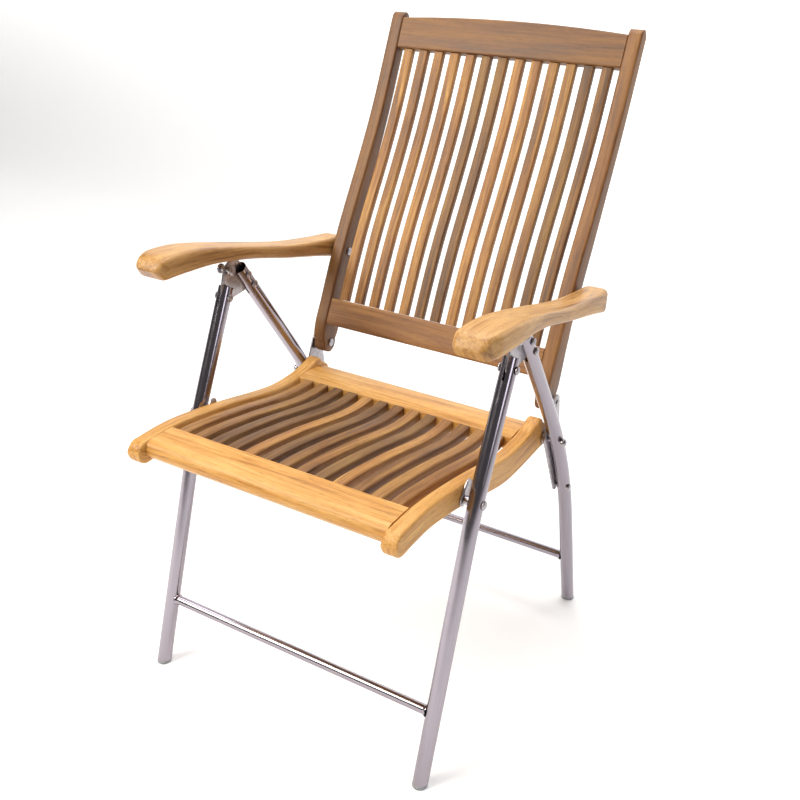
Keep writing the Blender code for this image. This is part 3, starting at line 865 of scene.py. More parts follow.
def both(*names: str) -> list[str]:
    """The left and right node of each name.

    Args:
        names: Node names without their side.

    Returns:
        The full names.
    """
    return [f"{name}_{word}" for name in names for word in ("left", "right")]


def numbered(name: str, count: int) -> list[str]:
    """Numbered node names.

    Args:
        name: The name before the number.
        count: How many.

    Returns:
        The names, counted from 01.
    """
    return [f"{name}_{i:02d}" for i in range(1, count + 1)]


# ---------------------------------------------------------------- finishes


def linear(code: str) -> tuple[float, float, float, float]:
    """A screen colour as the linear values a shader takes.

    Args:
        code: The sRGB colour as #rrggbb.

    Returns:
        Linear red, green, blue and an alpha of 1.
    """
    parts = [int(code[i : i + 2], 16) / 255 for i in (1, 3, 5)]
    red, green, blue = (c / 12.92 if c <= 0.04045 else ((c + 0.055) / 1.055) ** 2.4 for c in parts)
    return red, green, blue, 1.0


def new_material(name: str) -> tuple[bpy.types.Material, Tree, bpy.types.Node]:
    """An empty node material.

    Args:
        name: Its name.

    Returns:
        The material, its tree and its surface shader.
    """
    made = bpy.data.materials.new(name)
    made.use_nodes = True
    made.node_tree.nodes.clear()
    tree = Tree(made.node_tree)
    surface = tree.add("ShaderNodeBsdfPrincipled")
    tree.add("ShaderNodeOutputMaterial", {"Surface": surface.outputs["BSDF"]})
    return made, tree, surface


def ramp(tree: Tree, value: bpy.types.NodeSocket, stops: list[tuple[float, tuple]]) -> bpy.types.Node:
    """A colour ramp.

    Args:
        tree: The tree it's added to.
        value: What drives it.
        stops: Positions and linear colours, in order.

    Returns:
        The ramp node.
    """
    node = tree.add("ShaderNodeValToRGB", {"Fac": value})
    band = node.color_ramp
    while len(band.elements) < len(stops):
        band.elements.new(0.5)
    for element, (position, colour) in zip(band.elements, stops):
        element.position = position
        element.color = colour
    return node


def scaled(tree: Tree, vector: bpy.types.NodeSocket, by: tuple[float, float, float]) -> bpy.types.NodeSocket:
    """A vector multiplied on each axis.

    Args:
        tree: The tree.
        vector: The vector.
        by: The three factors.

    Returns:
        The product's socket.
    """
    node = tree.add("ShaderNodeVectorMath", {0: vector, 1: by}, operation="MULTIPLY")
    return node.outputs["Vector"]


def grey(level: float) -> tuple[float, float, float, float]:
    """A grey for a ramp that carries a plain number.

    Args:
        level: The number.

    Returns:
        The colour.
    """
    return level, level, level, 1.0


@dataclass(frozen=True)
class OiledTeak:
    """Planed and oiled teak: a silky face with long figure, fine dark pores and a tone for each board.

    Attributes:
        name: The material's name.
        dark: Late-wood colour.
        middle: The main colour.
        light: Early-wood colour.
        spread: How far boards differ in tone, as a share.
        figure: How strongly the growth lines show, 0 to 1.
        roughness: The oiled face's mean roughness.
    """

    name: str
    dark: str
    middle: str
    light: str
    spread: float = 0.25
    figure: float = 0.6
    roughness: float = 0.46

    def make(self) -> bpy.types.Material:
        """Builds the material.

        Returns:
            The material.
        """
        made, tree, surface = new_material(self.name)
        tone = tree.add("ShaderNodeAttribute", attribute_name="tone")
        grain = tree.add("ShaderNodeAttribute", attribute_name="grain")
        # Each board starts somewhere else in the log, so no two boards share their figure.
        start = tree.add(
            "ShaderNodeVectorMath",
            {0: tone.outputs["Vector"], 1: (3.7, 9.1, 5.3)},
            operation="MULTIPLY",
        )
        place = tree.add(
            "ShaderNodeVectorMath",
            {0: grain.outputs["Vector"], 1: start.outputs["Vector"]},
            operation="ADD",
        )
        place = place.outputs["Vector"]
        # The log's own bends push the growth lines aside by a few millimetres.
        drift = tree.noise(scaled(tree, place, (9.0, 3.2, 9.0)), 2.0)
        pushed = tree.add(
            "ShaderNodeVectorMath",
            {0: drift.outputs["Color"], 1: (0.022, 0.0, 0.022), 2: place},
            operation="MULTIPLY_ADD",
        )
        # Growth lines 3 to 8 mm apart that run the length of the board.
        lines = tree.noise(scaled(tree, pushed.outputs["Vector"], (210.0, 4.0, 210.0)), 4.0, 0.62)
        # Broad bands of colour, some 30 mm wide and a hand long.
        bands = tree.noise(scaled(tree, place, (46.0, 5.5, 46.0)), 3.0, 0.55)
        # Open pores: dark hair lines a few tenths of a millimetre wide and 10 to 20 mm long.
        pores = tree.noise(scaled(tree, place, (1500.0, 55.0, 1500.0)), 2.0)
        mixed = tree.add(
            "ShaderNodeMix",
            {"Factor": self.figure, "A": bands.outputs["Fac"], "B": lines.outputs["Fac"]},
            data_type="FLOAT",
        )
        mixed = out(mixed, "Result")
        colour = ramp(
            tree,
            mixed,
            [(0.34, linear(self.dark)), (0.47, linear(self.middle)), (0.66, linear(self.light))],
        )
        shade = tree.add(
            "ShaderNodeMapRange",
            {"Value": tone.outputs["Fac"], "To Min": 1.0 - self.spread, "To Max": 1.0 + self.spread},
        )
        toned = tree.add(
            "ShaderNodeVectorMath",
            {0: colour.outputs["Color"], "Scale": shade.outputs["Result"]},
            operation="SCALE",
        )
        pore_dark = ramp(tree, pores.outputs["Fac"], [(0.30, grey(0.55)), (0.44, grey(1.0))])
        final = tree.add(
            "ShaderNodeVectorMath",
            {0: toned.outputs["Vector"], 1: pore_dark.outputs["Color"]},
            operation="MULTIPLY",
        )
        tree.link(final.outputs["Vector"], surface.inputs["Base Color"])
        # Oil sits in the early wood and leaves the late wood a little shinier.
        sheen = tree.add(
            "ShaderNodeMapRange",
            {
                "Value": mixed,
                "From Min": 0.3,
                "From Max": 0.7,
                "To Min": self.roughness - 0.09,
                "To Max": self.roughness + 0.10,
            },
        )
        tree.link(sheen.outputs["Result"], surface.inputs["Roughness"])
        relief = tree.add(
            "ShaderNodeMath",
            {0: lines.outputs["Fac"], 1: 0.35, 2: pore_dark.outputs["Color"]},
            operation="MULTIPLY_ADD",
        )
        tree.relief(surface, relief.outputs["Value"], 0.32, 0.0003)
        surface.inputs["Specular IOR Level"].default_value = 0.42
        return made


@dataclass(frozen=True)
class PolishedStainless:
    """Drawn stainless tube, polished along its length: clear reflections with faint lines and smudges.

    Attributes:
        name: The material's name.
        colour: The metal's colour; its violet cast is painted reflection of the surroundings.
        roughness: Mean roughness of the polish.
        lines: How much the drawn lines change the roughness.
    """

    name: str
    colour: str
    roughness: float = 0.14
    lines: float = 0.10

    def make(self) -> bpy.types.Material:
        """Builds the material.

        Returns:
            The material.
        """
        made, tree, surface = new_material(self.name)
        surface.inputs["Metallic"].default_value = 1.0
        place = tree.add("ShaderNodeTexCoord").outputs["Object"]
        run = tree.add("ShaderNodeAttribute", attribute_name="run")
        apart = tree.add("ShaderNodeSeparateXYZ", {"Vector": place})
        drawn = tree.add(
            "ShaderNodeCombineXYZ", {"X": apart.outputs["X"], "Y": run.outputs["Fac"], "Z": 0.0}
        )
        # Polishing lines: tenths of a millimetre apart, hand-long along the tube.
        lines = tree.noise(scaled(tree, drawn.outputs["Vector"], (2600.0, 9.0, 1.0)), 3.0)
        # Finger marks and dried water, 20 to 60 mm across.
        smudge = tree.noise(place, 5.0, 0.6, scale=26.0)
        wear = tree.add(
            "ShaderNodeMapRange",
            {"Value": smudge.outputs["Fac"], "From Min": 0.35, "From Max": 0.75},
        )
        rough = tree.add(
            "ShaderNodeMath",
            {0: lines.outputs["Fac"], 1: self.lines, 2: self.roughness - self.lines / 2},
            operation="MULTIPLY_ADD",
        )
        total = tree.add(
            "ShaderNodeMath",
            {0: wear.outputs["Result"], 1: 0.07, 2: rough.outputs["Value"]},
            operation="MULTIPLY_ADD",
        )
        tree.link(total.outputs["Value"], surface.inputs["Roughness"])
        red, green, blue, _ = linear(self.colour)
        colour = ramp(
            tree,
            lines.outputs["Fac"],
            [(0.35, (red * 0.86, green * 0.85, blue * 0.88, 1.0)), (0.65, (red, green, blue, 1.0))],
        )
        tree.link(colour.outputs["Color"], surface.inputs["Base Color"])
        tree.relief(surface, lines.outputs["Fac"], 0.05, 0.00005)
        return made


@dataclass(frozen=True)
class BrushedStainless:
    """Sawn and satin-brushed stainless: a soft bright sheen with short scratches all one way.

    Attributes:
        name: The material's name.
        colour: The metal's colour.
        roughness: Mean roughness.
    """

    name: str
    colour: str
    roughness: float = 0.30

    def make(self) -> bpy.types.Material:
        """Builds the material.

        Returns:
            The material.
        """
        made, tree, surface = new_material(self.name)
        surface.inputs["Metallic"].default_value = 1.0
        place = tree.add("ShaderNodeTexCoord").outputs["Object"]
        # Scratches a tenth of a millimetre wide and some 8 mm long.
        scratch = tree.noise(scaled(tree, place, (2400.0, 2400.0, 120.0)), 3.0)
        blotch = tree.noise(place, 4.0, scale=140.0)
        rough = tree.add(
            "ShaderNodeMapRange",
            {
                "Value": scratch.outputs["Fac"],
                "From Min": 0.3,
                "From Max": 0.7,
                "To Min": self.roughness - 0.08,
                "To Max": self.roughness + 0.12,
            },
        )
        tree.link(rough.outputs["Result"], surface.inputs["Roughness"])
        red, green, blue, _ = linear(self.colour)
        colour = ramp(
            tree,
            blotch.outputs["Fac"],
            [(0.35, (red * 0.72, green * 0.70, blue * 0.72, 1.0)), (0.62, (red, green, blue, 1.0))],
        )
        tree.link(colour.outputs["Color"], surface.inputs["Base Color"])
        tree.relief(surface, scratch.outputs["Fac"], 0.12, 0.00008)
        return made


@dataclass(frozen=True)
class MouldedNylon:
    """Injection-moulded grey nylon: a dull spark-eroded face, scuffed paler where it slides on the floor.

    Attributes:
        name: The material's name.
        colour: The plastic's colour.
        scuffed: Its colour where it's worn.
    """

    name: str
    colour: str
    scuffed: str

    def make(self) -> bpy.types.Material:
        """Builds the material.

        Returns:
            The material.
        """
        made, tree, surface = new_material(self.name)
        place = tree.add("ShaderNodeTexCoord").outputs["Object"]
        # The mould's eroded texture, about half a millimetre.
        texture = tree.noise(place, 3.0, scale=1900.0)
        scuff = tree.noise(scaled(tree, place, (160.0, 160.0, 520.0)), 4.0)
        colour = ramp(tree, scuff.outputs["Fac"], [(0.42, linear(self.colour)), (0.68, linear(self.scuffed))])
        tree.link(colour.outputs["Color"], surface.inputs["Base Color"])
        rough = tree.add(
            "ShaderNodeMapRange",
            {"Value": texture.outputs["Fac"], "To Min": 0.42, "To Max": 0.72},
        )
        tree.link(rough.outputs["Result"], surface.inputs["Roughness"])
        tree.relief(surface, texture.outputs["Fac"], 0.25, 0.0001)
        return made


@dataclass(frozen=True)
class PaintedSweep:
    """Matt white painted floor and wall, with the faint mottling of rolled paint.

    Attributes:
        name: The material's name.
        colour: The paint's colour.
        glow: How much light the floor adds, for a clean white sweep.
        wall_glow: The same for the wall, which the lights reach less.
    """

    name: str
    colour: str
    glow: float
    wall_glow: float

    def make(self) -> bpy.types.Material:
        """Builds the material.

        Returns:
            The material.
        """
        made, tree, surface = new_material(self.name)
        place = tree.add("ShaderNodeTexCoord").outputs["Object"]
        mottle = tree.noise(place, 3.0, scale=60.0)
        red, green, blue, _ = linear(self.colour)
        colour = ramp(
            tree,
            mottle.outputs["Fac"],
            [(0.3, (red * 0.985, green * 0.985, blue * 0.985, 1.0)), (0.7, (red, green, blue, 1.0))],
        )
        tree.link(colour.outputs["Color"], surface.inputs["Base Color"])
        tree.link(colour.outputs["Color"], surface.inputs["Emission Color"])
        height = tree.add("ShaderNodeSeparateXYZ", {"Vector": place})
        glow = tree.add(
            "ShaderNodeMapRange",
            {"Value": height.outputs["Z"], "From Max": 1.4, "To Min": self.glow, "To Max": self.wall_glow},
        )
        tree.link(glow.outputs["Result"], surface.inputs["Emission Strength"])
        surface.inputs["Roughness"].default_value = 0.85
        return made


@dataclass
class Finishes:
    """Every material of the chair, made once."""

    seat_frame: bpy.types.Material
    slat: bpy.types.Material
    back_frame: bpy.types.Material
    arm: bpy.types.Material
    tube: bpy.types.Material
    plate: bpy.types.Material
    bolt: bpy.types.Material
    plastic: bpy.types.Material

    @classmethod
    def make(cls) -> "Finishes":
        """Builds them all.

        Returns:
            The set of finishes.
        """
        return cls(
            seat_frame=OiledTeak("honey_teak", "#9c6426", "#c98f44", "#e0b06a", 0.08, 0.55, 0.44).make(),
            slat=OiledTeak("brown_teak_slats", "#523318", "#835729", "#ab8046", 0.42, 0.50, 0.50).make(),
            back_frame=OiledTeak(
                "brown_teak_frame",
                "#523215",
                "#784d24",
                "#946838",
                0.30,
                0.50,
                0.46,
            ).make(),
            arm=OiledTeak("brown_teak_arms", "#80552a", "#b58448", "#d2a76a", 0.10, 0.52, 0.40).make(),
            # The tube's violet-grey colour holds painted reflection: the violet cast of the surroundings that
            # the polished tube mirrors.
            tube=PolishedStainless("polished_stainless_tube", "#a39ca3").make(),
            plate=BrushedStainless("brushed_stainless_plate", "#b9b4b6").make(),
            bolt=BrushedStainless("turned_stainless_bolts", "#aca8ab", 0.24).make(),
            plastic=MouldedNylon("grey_moulded_nylon", "#84858a", "#b4b5b8").make(),
        )


# ---------------------------------------------------------------- legs


@dataclass
class Steelwork:
    """Tube legs, crossbars, plates, bolts and foot plugs.

    Attributes:
        tube_r: The leg tube's outer radius.
        wall: Its wall.
        track: From the chair's middle to a leg's centreline.
        plate: The plates' thickness.
        bolt_r: The bolts' radius.
    """

    shop: Workshop
    finishes: Finishes
    tube_r: float = 0.0125
    wall: float = 0.0015
    track: float = 0.265
    plate: float = 0.003
    bolt_r: float = 0.004
    head_r: float = 0.0075
    head_t: float = 0.004
    front_pivot: Point = (0.186, 0.636)
    rest_stud: Point = (0.1935, 0.6815)
    lock_pin: Point = (0.2125, 0.6985)
    seat_pivot: Point = (0.416, 0.430)
    back_pivot: Point = (0.438, 0.4915)
    plate_foot: Point = (0.4855, 0.311)
    seat_stud: Point = (0.115, 0.447)
    arm_pivot: Point = (0.494, 0.660)
    hook_opens: Point = (0.387, -0.922)
    crossbar_z: float = 0.119
    crossbar_r: float = 0.008
    foot_height: float = 0.006
    rail_outer: float = 0.2425
    stile_outer: float = 0.2430
    stile_inner: float = 0.2180
    arm_inner: float = 0.2475

    def front_path(self) -> list[Point]:
        """The front leg's centreline.

        Returns:
            The path, from the floor up.
        """
        knee = Vector((0.107, 0.428))
        top = Vector(self.front_pivot) + (Vector(self.front_pivot) - knee).normalized() * 0.018
        return bent(((0.0, 0.0), tuple(knee), tuple(top)), 0.8)

    def rear_path(self) -> list[Point]:
        """The rear leg's centreline.

        Returns:
            The path, from the floor up.
        """
        return bent(((0.606, 0.0), (0.4765, 0.370), (0.2265, 0.678)), 0.88)

    def rivets(self) -> list[Point]:
        """Where the gusset is riveted into the rear tube.

        Returns:
            Two places.
        """
        path = self.rear_path()
        top = Vector(path[-1])
        down = (Vector(path[-2]) - top).normalized()
        return [tuple(top + down * distance) for distance in (0.0155, 0.0410)]

    def rod(self, path: list[Point], radius: float, x: float, around: int = 56) -> bpy.types.Mesh:
        """A round bar swept along a path.

        Args:
            path: Its centreline.
            radius: Its radius.
            x: Its x.
            around: Points round it.

        Returns:
            The mesh.
        """
        line = bpy.data.meshes.new("path")
        points = [(x, y + DEPTH_SHIFT, z) for y, z in path]
        line.from_pydata(points, [(i, i + 1) for i in range(len(points) - 1)], [])
        values = {"Radius": radius, "Around": around, "Finish": self.finishes.tube}
        return facing_out(self.shop.generated(line, self.shop.trees.sweep, values))

    def leg(self, path: list[Point], side: int, slot_depth: float, both_sides: bool) -> bpy.types.Mesh:
        """One leg: a bent tube, hollow at its top, with a saw cut for the gusset.

        Args:
            path: Its centreline.
            side: 1 or -1.
            slot_depth: How far the cut goes down from the tube's end.
            both_sides: Whether the cut goes right through, or only in from the front.

        Returns:
            The mesh.
        """
        x = side * self.track
        start, following = Vector(path[0]), Vector(path[1])
        sunk = tuple(start - (following - start).normalized() * 0.02)
        end = Vector(path[-1])
        along = (end - Vector(path[-2])).normalized()
        bore = [tuple(end - along * 0.12), tuple(end + along * 0.02)]
        outer = self.rod([sunk, *path], self.tube_r, x)
        inner = self.rod(bore, self.tube_r - self.wall, x)
        level_at = self.foot_height + GAP
        floor = [
            (path[0][0] + a, z)
            for a, z in ((-0.05, -0.05), (0.05, -0.05), (0.05, level_at), (-0.05, level_at))
        ]
        across = Vector((along.y, -along.x))
        back = 0.03 if both_sides else 0.0
        corners = (
            end + along * 0.02 - across * 0.03,
            end + along * 0.02 + across * back,
            end - along * slot_depth + across * back,
            end - along * slot_depth - across * 0.03,
        )
        half = self.plate / 2 + 0.0004
        slot = prism("slot", [tuple(c) for c in corners], (x - half, x + half))
        level = prism("floor", floor, (x - 0.03, x + 0.03))
        return self.shop.cut(outer, inner, slot, level)

    def crossbar(self, skin: Skin, path: list[Point]) -> None:
        """A round bar between two legs, with a weld bead at each end.

        Args:
            skin: What it's added to.
            path: The legs' centreline.
        """
        y = next(
            a[0] + (b[0] - a[0]) * (self.crossbar_z - a[1]) / (b[1] - a[1])
            for a, b in zip(path, path[1:])
            if a[1] <= self.crossbar_z <= b[1]
        )
        end = self.track - self.tube_r
        bead = ((0.0010, 0.0024), (-0.0008, 0.0022), (-0.0022, 0.0013), (-0.0032, 0.0004), (-0.0042, 0.0))
        half = [(end + out_by, self.crossbar_r + more) for out_by, more in bead]
        profile = [(-x, r) for x, r in half] + [(x, r) for x, r in half[::-1]]
        turned(skin, (y, self.crossbar_z), 1, profile)

    def plugs(self, skin: Skin, path: list[Point]) -> None:
        """A foot plug under each leg: a level pad as wide as the tube, with eased edges.

        Args:
            skin: What it's added to.
            path: The leg's centreline.
        """
        start, way = Vector(path[0]), (Vector(path[1]) - Vector(path[0])).normalized()
        top = self.foot_height
        for side in SIDES:
            rings = []
            for z, ease in (
                (0.0, 0.0012),
                (0.0004, 0.0005),
                (0.0012, 0.0),
                (top - 0.0008, 0.0),
                (top, 0.0004),
            ):
                middle = start + way * (z / way.y)
                ring = arc((0.0, 0.0), 1.0, 0, 360, 48)[:-1]
                wide, deep = self.tube_r - ease, self.tube_r / way.y - ease
                rings.append(
                    [Vector((side * self.track + a * wide, middle.x + b * deep, z)) for a, b in ring],
                )
            skin.loft(rings, [list(ring) for ring in rings])

    def heads(self, spots: list[tuple[float, Point, int]], radius: float, height: float) -> bpy.types.Mesh:
        """Domed heads set on faces that look across the chair.

        Args:
            spots: For each head, the face's x, its place in the side view and the way it looks.
            radius: The heads' radius.
            height: How far they stand out.

        Returns:
            The mesh of them all.
        """
        rings = [(0.0, radius * 0.96), (height * 0.10, radius), (height * 0.42, radius)]
        for i in range(1, 8):
            t = radians(90 * i / 8)
            rings.append((height * (0.42 + 0.58 * sin(t)), radius * cos(t)))
        dome = Skin()
        circles = [[Vector((*p, z)) for p in arc((0, 0), r, 0, 360, 36)[:-1]] for z, r in rings]
        dome.loft(circles, [list(c) for c in circles])
        head_mesh = dome.mesh("head")
        head_mesh.transform(Matrix.Translation((0, -DEPTH_SHIFT, 0)))
        head = self.shop.object("head", head_mesh)
        spot_mesh = bpy.data.meshes.new("spots")
        spot_mesh.from_pydata([(x, p[0] + DEPTH_SHIFT, p[1]) for x, p, _ in spots], [], [])
        facing = spot_mesh.attributes.new("facing", "FLOAT_VECTOR", "POINT")
        facing.data.foreach_set("vector", [float(v) for _, _, way in spots for v in (way, 0, 0)])
        made = self.shop.generated(
            spot_mesh, self.shop.trees.fasteners, {"Head": head, "Finish": self.finishes.bolt}
        )
        bpy.data.objects.remove(head)
        return facing_out(made)

    def build(self) -> None:
        """Makes every steel and plastic piece."""
        self.build_legs()
        self.build_plates()
        self.build_bolts()

    def build_legs(self) -> None:
        """Tubes, crossbars and plugs of both leg frames."""
        shop, kit = self.shop, self.finishes
        for word, body, path, depth, through_both in (
            ("front", Body.FRONT, self.front_path(), 0.036, True),
            ("rear", Body.REAR, self.rear_path(), 0.057, False),
        ):
            bar = Skin()
            self.crossbar(bar, path)
            legs = [self.leg(path, side, depth, through_both) for side in SIDES]
            tubes = shop.merged(f"{word}_tubes", [*legs, bar.mesh("bar")])
            nodes = [*both(f"{word}_leg"), f"{word}_crossbar"]
            shop.piece(f"{word}_tubes", tubes, kit.tube, body, Slot.TUBE, nodes)
            plugs = Skin()
            self.plugs(plugs, path)
            shop.piece(
                f"{word}_plugs", plugs.mesh("plugs"), kit.plastic, body, Slot.PLASTIC, both(f"{word}_foot")
            )

    def build_plates(self) -> None:
        """Gussets, hinge plates and the seat's hooks."""
        shop, kit = self.shop, self.finishes
        rear, front = self.rivets()
        covered = [
            (self.front_pivot, 0.0105),
            (self.rest_stud, 0.0075),
            (self.lock_pin, 0.0045),
            (rear, 0.0085),
            (front, 0.0085),
        ]
        hinge = [(self.seat_pivot, 0.0125), (self.back_pivot, 0.0135), (self.plate_foot, 0.0105)]
        outer = self.track - self.tube_r - GAP
        lock = ((-0.0065, 0.0026), (-0.006, 0.003), (0.006, 0.003), (0.0065, 0.0026))
        plates = Skin()
        for side in SIDES:
            x = side * self.track
            plate_skin(plates, around_discs(covered), (x - self.plate / 2, x + self.plate / 2))
            plate_skin(plates, around_discs(hinge), (side * (outer - self.plate), side * outer))
            turned(plates, self.lock_pin, side, [(self.track + x, r) for x, r in lock])
        nodes = both("gusset", "hinge_plate")
        shop.piece("gusset_plates", plates.mesh("plates"), kit.plate, Body.REAR, Slot.PLATE, nodes)
        hooks = []
        for side in SIDES:
            skin = Skin()
            upper = (self.seat_stud[0] + 0.012, self.seat_stud[1] + 0.020)
            x0 = self.rail_outer + GAP
            plate_skin(
                skin,
                around_discs([(self.seat_stud, 0.0115), (upper, 0.0085)]),
                (side * x0, side * (x0 + self.plate)),
            )
            opens = Vector(self.hook_opens).normalized()
            across = Vector((-opens.y, opens.x)) * (self.bolt_r + 0.0006)
            stud = Vector(self.seat_stud)
            away = stud + opens * 0.02
            mouth = [tuple(p) for p in (stud - across, away - across, away + across, stud + across)]
            eye = arc(self.seat_stud, self.bolt_r + 0.0006, 0, 360, 40)[:-1]
            reach = (side * (x0 - 0.003), side * (x0 + 0.006))
            hooks.append(shop.cut(skin.mesh("hook"), prism("mouth", mouth, reach), prism("eye", eye, reach)))
        shop.piece(
            "seat_hooks",
            shop.merged("hooks", hooks),
            kit.plate,
            Body.SEAT,
            Slot.PLATE,
            both("seat_hook"),
        )

    def build_bolts(self) -> None:
        """Pins, spacers, studs and their domed heads, on the body each turns with."""
        shop, kit = self.shop, self.finishes
        rear, front = self.rivets()
        face = self.track + self.tube_r + GAP
        inner_face = self.track - self.tube_r - GAP
        plate_in = inner_face - self.plate

        frame_pins = Skin()
        for side in SIDES:
            for place in (self.front_pivot, rear, front):
                turned(
                    frame_pins,
                    place,
                    side,
                    [(inner_face - 0.001, self.bolt_r), (face + 0.001, self.bolt_r)],
                )
            turned(
                frame_pins,
                self.plate_foot,
                side,
                [(plate_in - 0.001, self.bolt_r), (face + 0.001, self.bolt_r)],
            )
            stud = [
                (-0.0135, 0.0075),
                (-0.0130, 0.0085),
                (-0.0105, 0.0085),
                (-0.0100, 0.0078),
                (-0.0100, 0.005),
            ]
            stud += [(0.0100, 0.005), (0.0100, 0.0078), (0.0105, 0.0085), (0.0130, 0.0085), (0.0135, 0.0075)]
            turned(frame_pins, self.rest_stud, side, [(self.track + x, r) for x, r in stud])
        spots = [
            (side * x, place, side * way)
            for side in SIDES
            for place in (self.front_pivot, rear, front)
            for x, way in ((face, 1), (inner_face, -1))
        ]
        foot_spots = [
            (side * x, self.plate_foot, side * way)
            for side in SIDES
            for x, way in ((face, 1), (plate_in, -1))
        ]
        domes = [
            self.heads(spots, self.head_r - 0.001, self.head_t - GAP),
            self.heads(foot_spots, self.head_r - 0.001, 0.0025),
        ]
        rivet_mesh = shop.merged("rivets", [frame_pins.mesh("pins"), *domes])
        shop.piece("frame_rivets", rivet_mesh, kit.bolt, Body.REAR, Slot.BOLT, [])

        studs = Skin()
        for side in SIDES:
            collar = self.rail_outer + GAP + self.plate + 0.0011
            profile = [
                (self.rail_outer + GAP, 0.0036),
                (self.rail_outer + 0.0007, self.bolt_r),
                (collar - 0.0001, self.bolt_r),
            ]
            profile += [(collar, 0.0062), (collar + 0.0005, 0.0070), (inner_face + 0.002, 0.0070)]
            turned(studs, self.seat_stud, side, profile)
        stud_spots = [(side * (self.track + self.tube_r - 0.0004), self.seat_stud, side) for side in SIDES]
        domes = [self.heads(stud_spots, self.head_r, self.head_t)]
        shop.piece(
            "seat_studs",
            shop.merged("studs", [studs.mesh("studs"), *domes]),
            kit.bolt,
            Body.FRONT,
            Slot.BOLT,
            [],
        )

        self.pivot_bolts(
            Body.SEAT,
            "seat",
            self.seat_pivot,
            (self.rail_outer - 0.012, face + 0.002),
            self.spacer(self.rail_outer + GAP, plate_in - GAP, 0.0105),
            self.heads([(side * face, self.seat_pivot, side) for side in SIDES], self.head_r, 0.0085),
        )
        self.pivot_bolts(
            Body.BACK,
            "back",
            self.back_pivot,
            (self.stile_inner - 0.001, plate_in + self.plate),
            self.spacer(self.stile_outer + GAP, plate_in - GAP, 0.0085),
            self.inner_heads(self.back_pivot),
        )
        self.pivot_bolts(
            Body.ARMS,
            "arm",
            self.arm_pivot,
            (self.stile_inner - 0.001, self.arm_inner + 0.028),
            self.spacer(self.stile_outer + GAP, self.arm_inner - GAP, 0.0105),
            self.inner_heads(self.arm_pivot),
        )

    def inner_heads(self, place: Point) -> bpy.types.Mesh:
        """Bolt heads on the stiles' inner faces.

        Args:
            place: Where, in the side view.

        Returns:
            The mesh of both.
        """
        spots = [(side * (self.stile_inner - GAP), place, -side) for side in SIDES]
        return self.heads(spots, self.head_r, self.head_t - GAP)

    def pivot_bolts(
        self,
        body: Body,
        word: str,
        place: Point,
        pin: Point,
        sleeve: list[Point],
        heads: bpy.types.Mesh,
    ) -> None:
        """A pivot's two bolts, each a pin through a spacer.

        Args:
            body: What they turn with.
            word: What their names start with.
            place: The pivot, in the side view.
            pin: The x of the pin's two ends.
            sleeve: The spacer's profile.
            heads: The mesh of their heads or nuts.
        """
        skin = Skin()
        for side in SIDES:
            turned(skin, place, side, [(x, self.bolt_r) for x in pin])
            turned(skin, place, side, sleeve)
        mesh = self.shop.merged(f"{word}_bolts", [skin.mesh("pins"), heads])
        nodes = both(f"{word}_pivot_bolt")
        self.shop.piece(f"{word}_bolts", mesh, self.finishes.bolt, body, Slot.BOLT, nodes)

    @staticmethod
    def spacer(start: float, end: float, radius: float) -> list[Point]:
        """A turned spacer's profile with eased ends.

        Args:
            start: First face's x.
            end: Last face's x.
            radius: Its radius.

        Returns:
            The (x, radius) points.
        """
        ease = min(0.0005, (end - start) / 4)
        return [(start, radius - ease), (start + ease, radius), (end - ease, radius), (end, radius - ease)]


# ---------------------------------------------------------------- seat


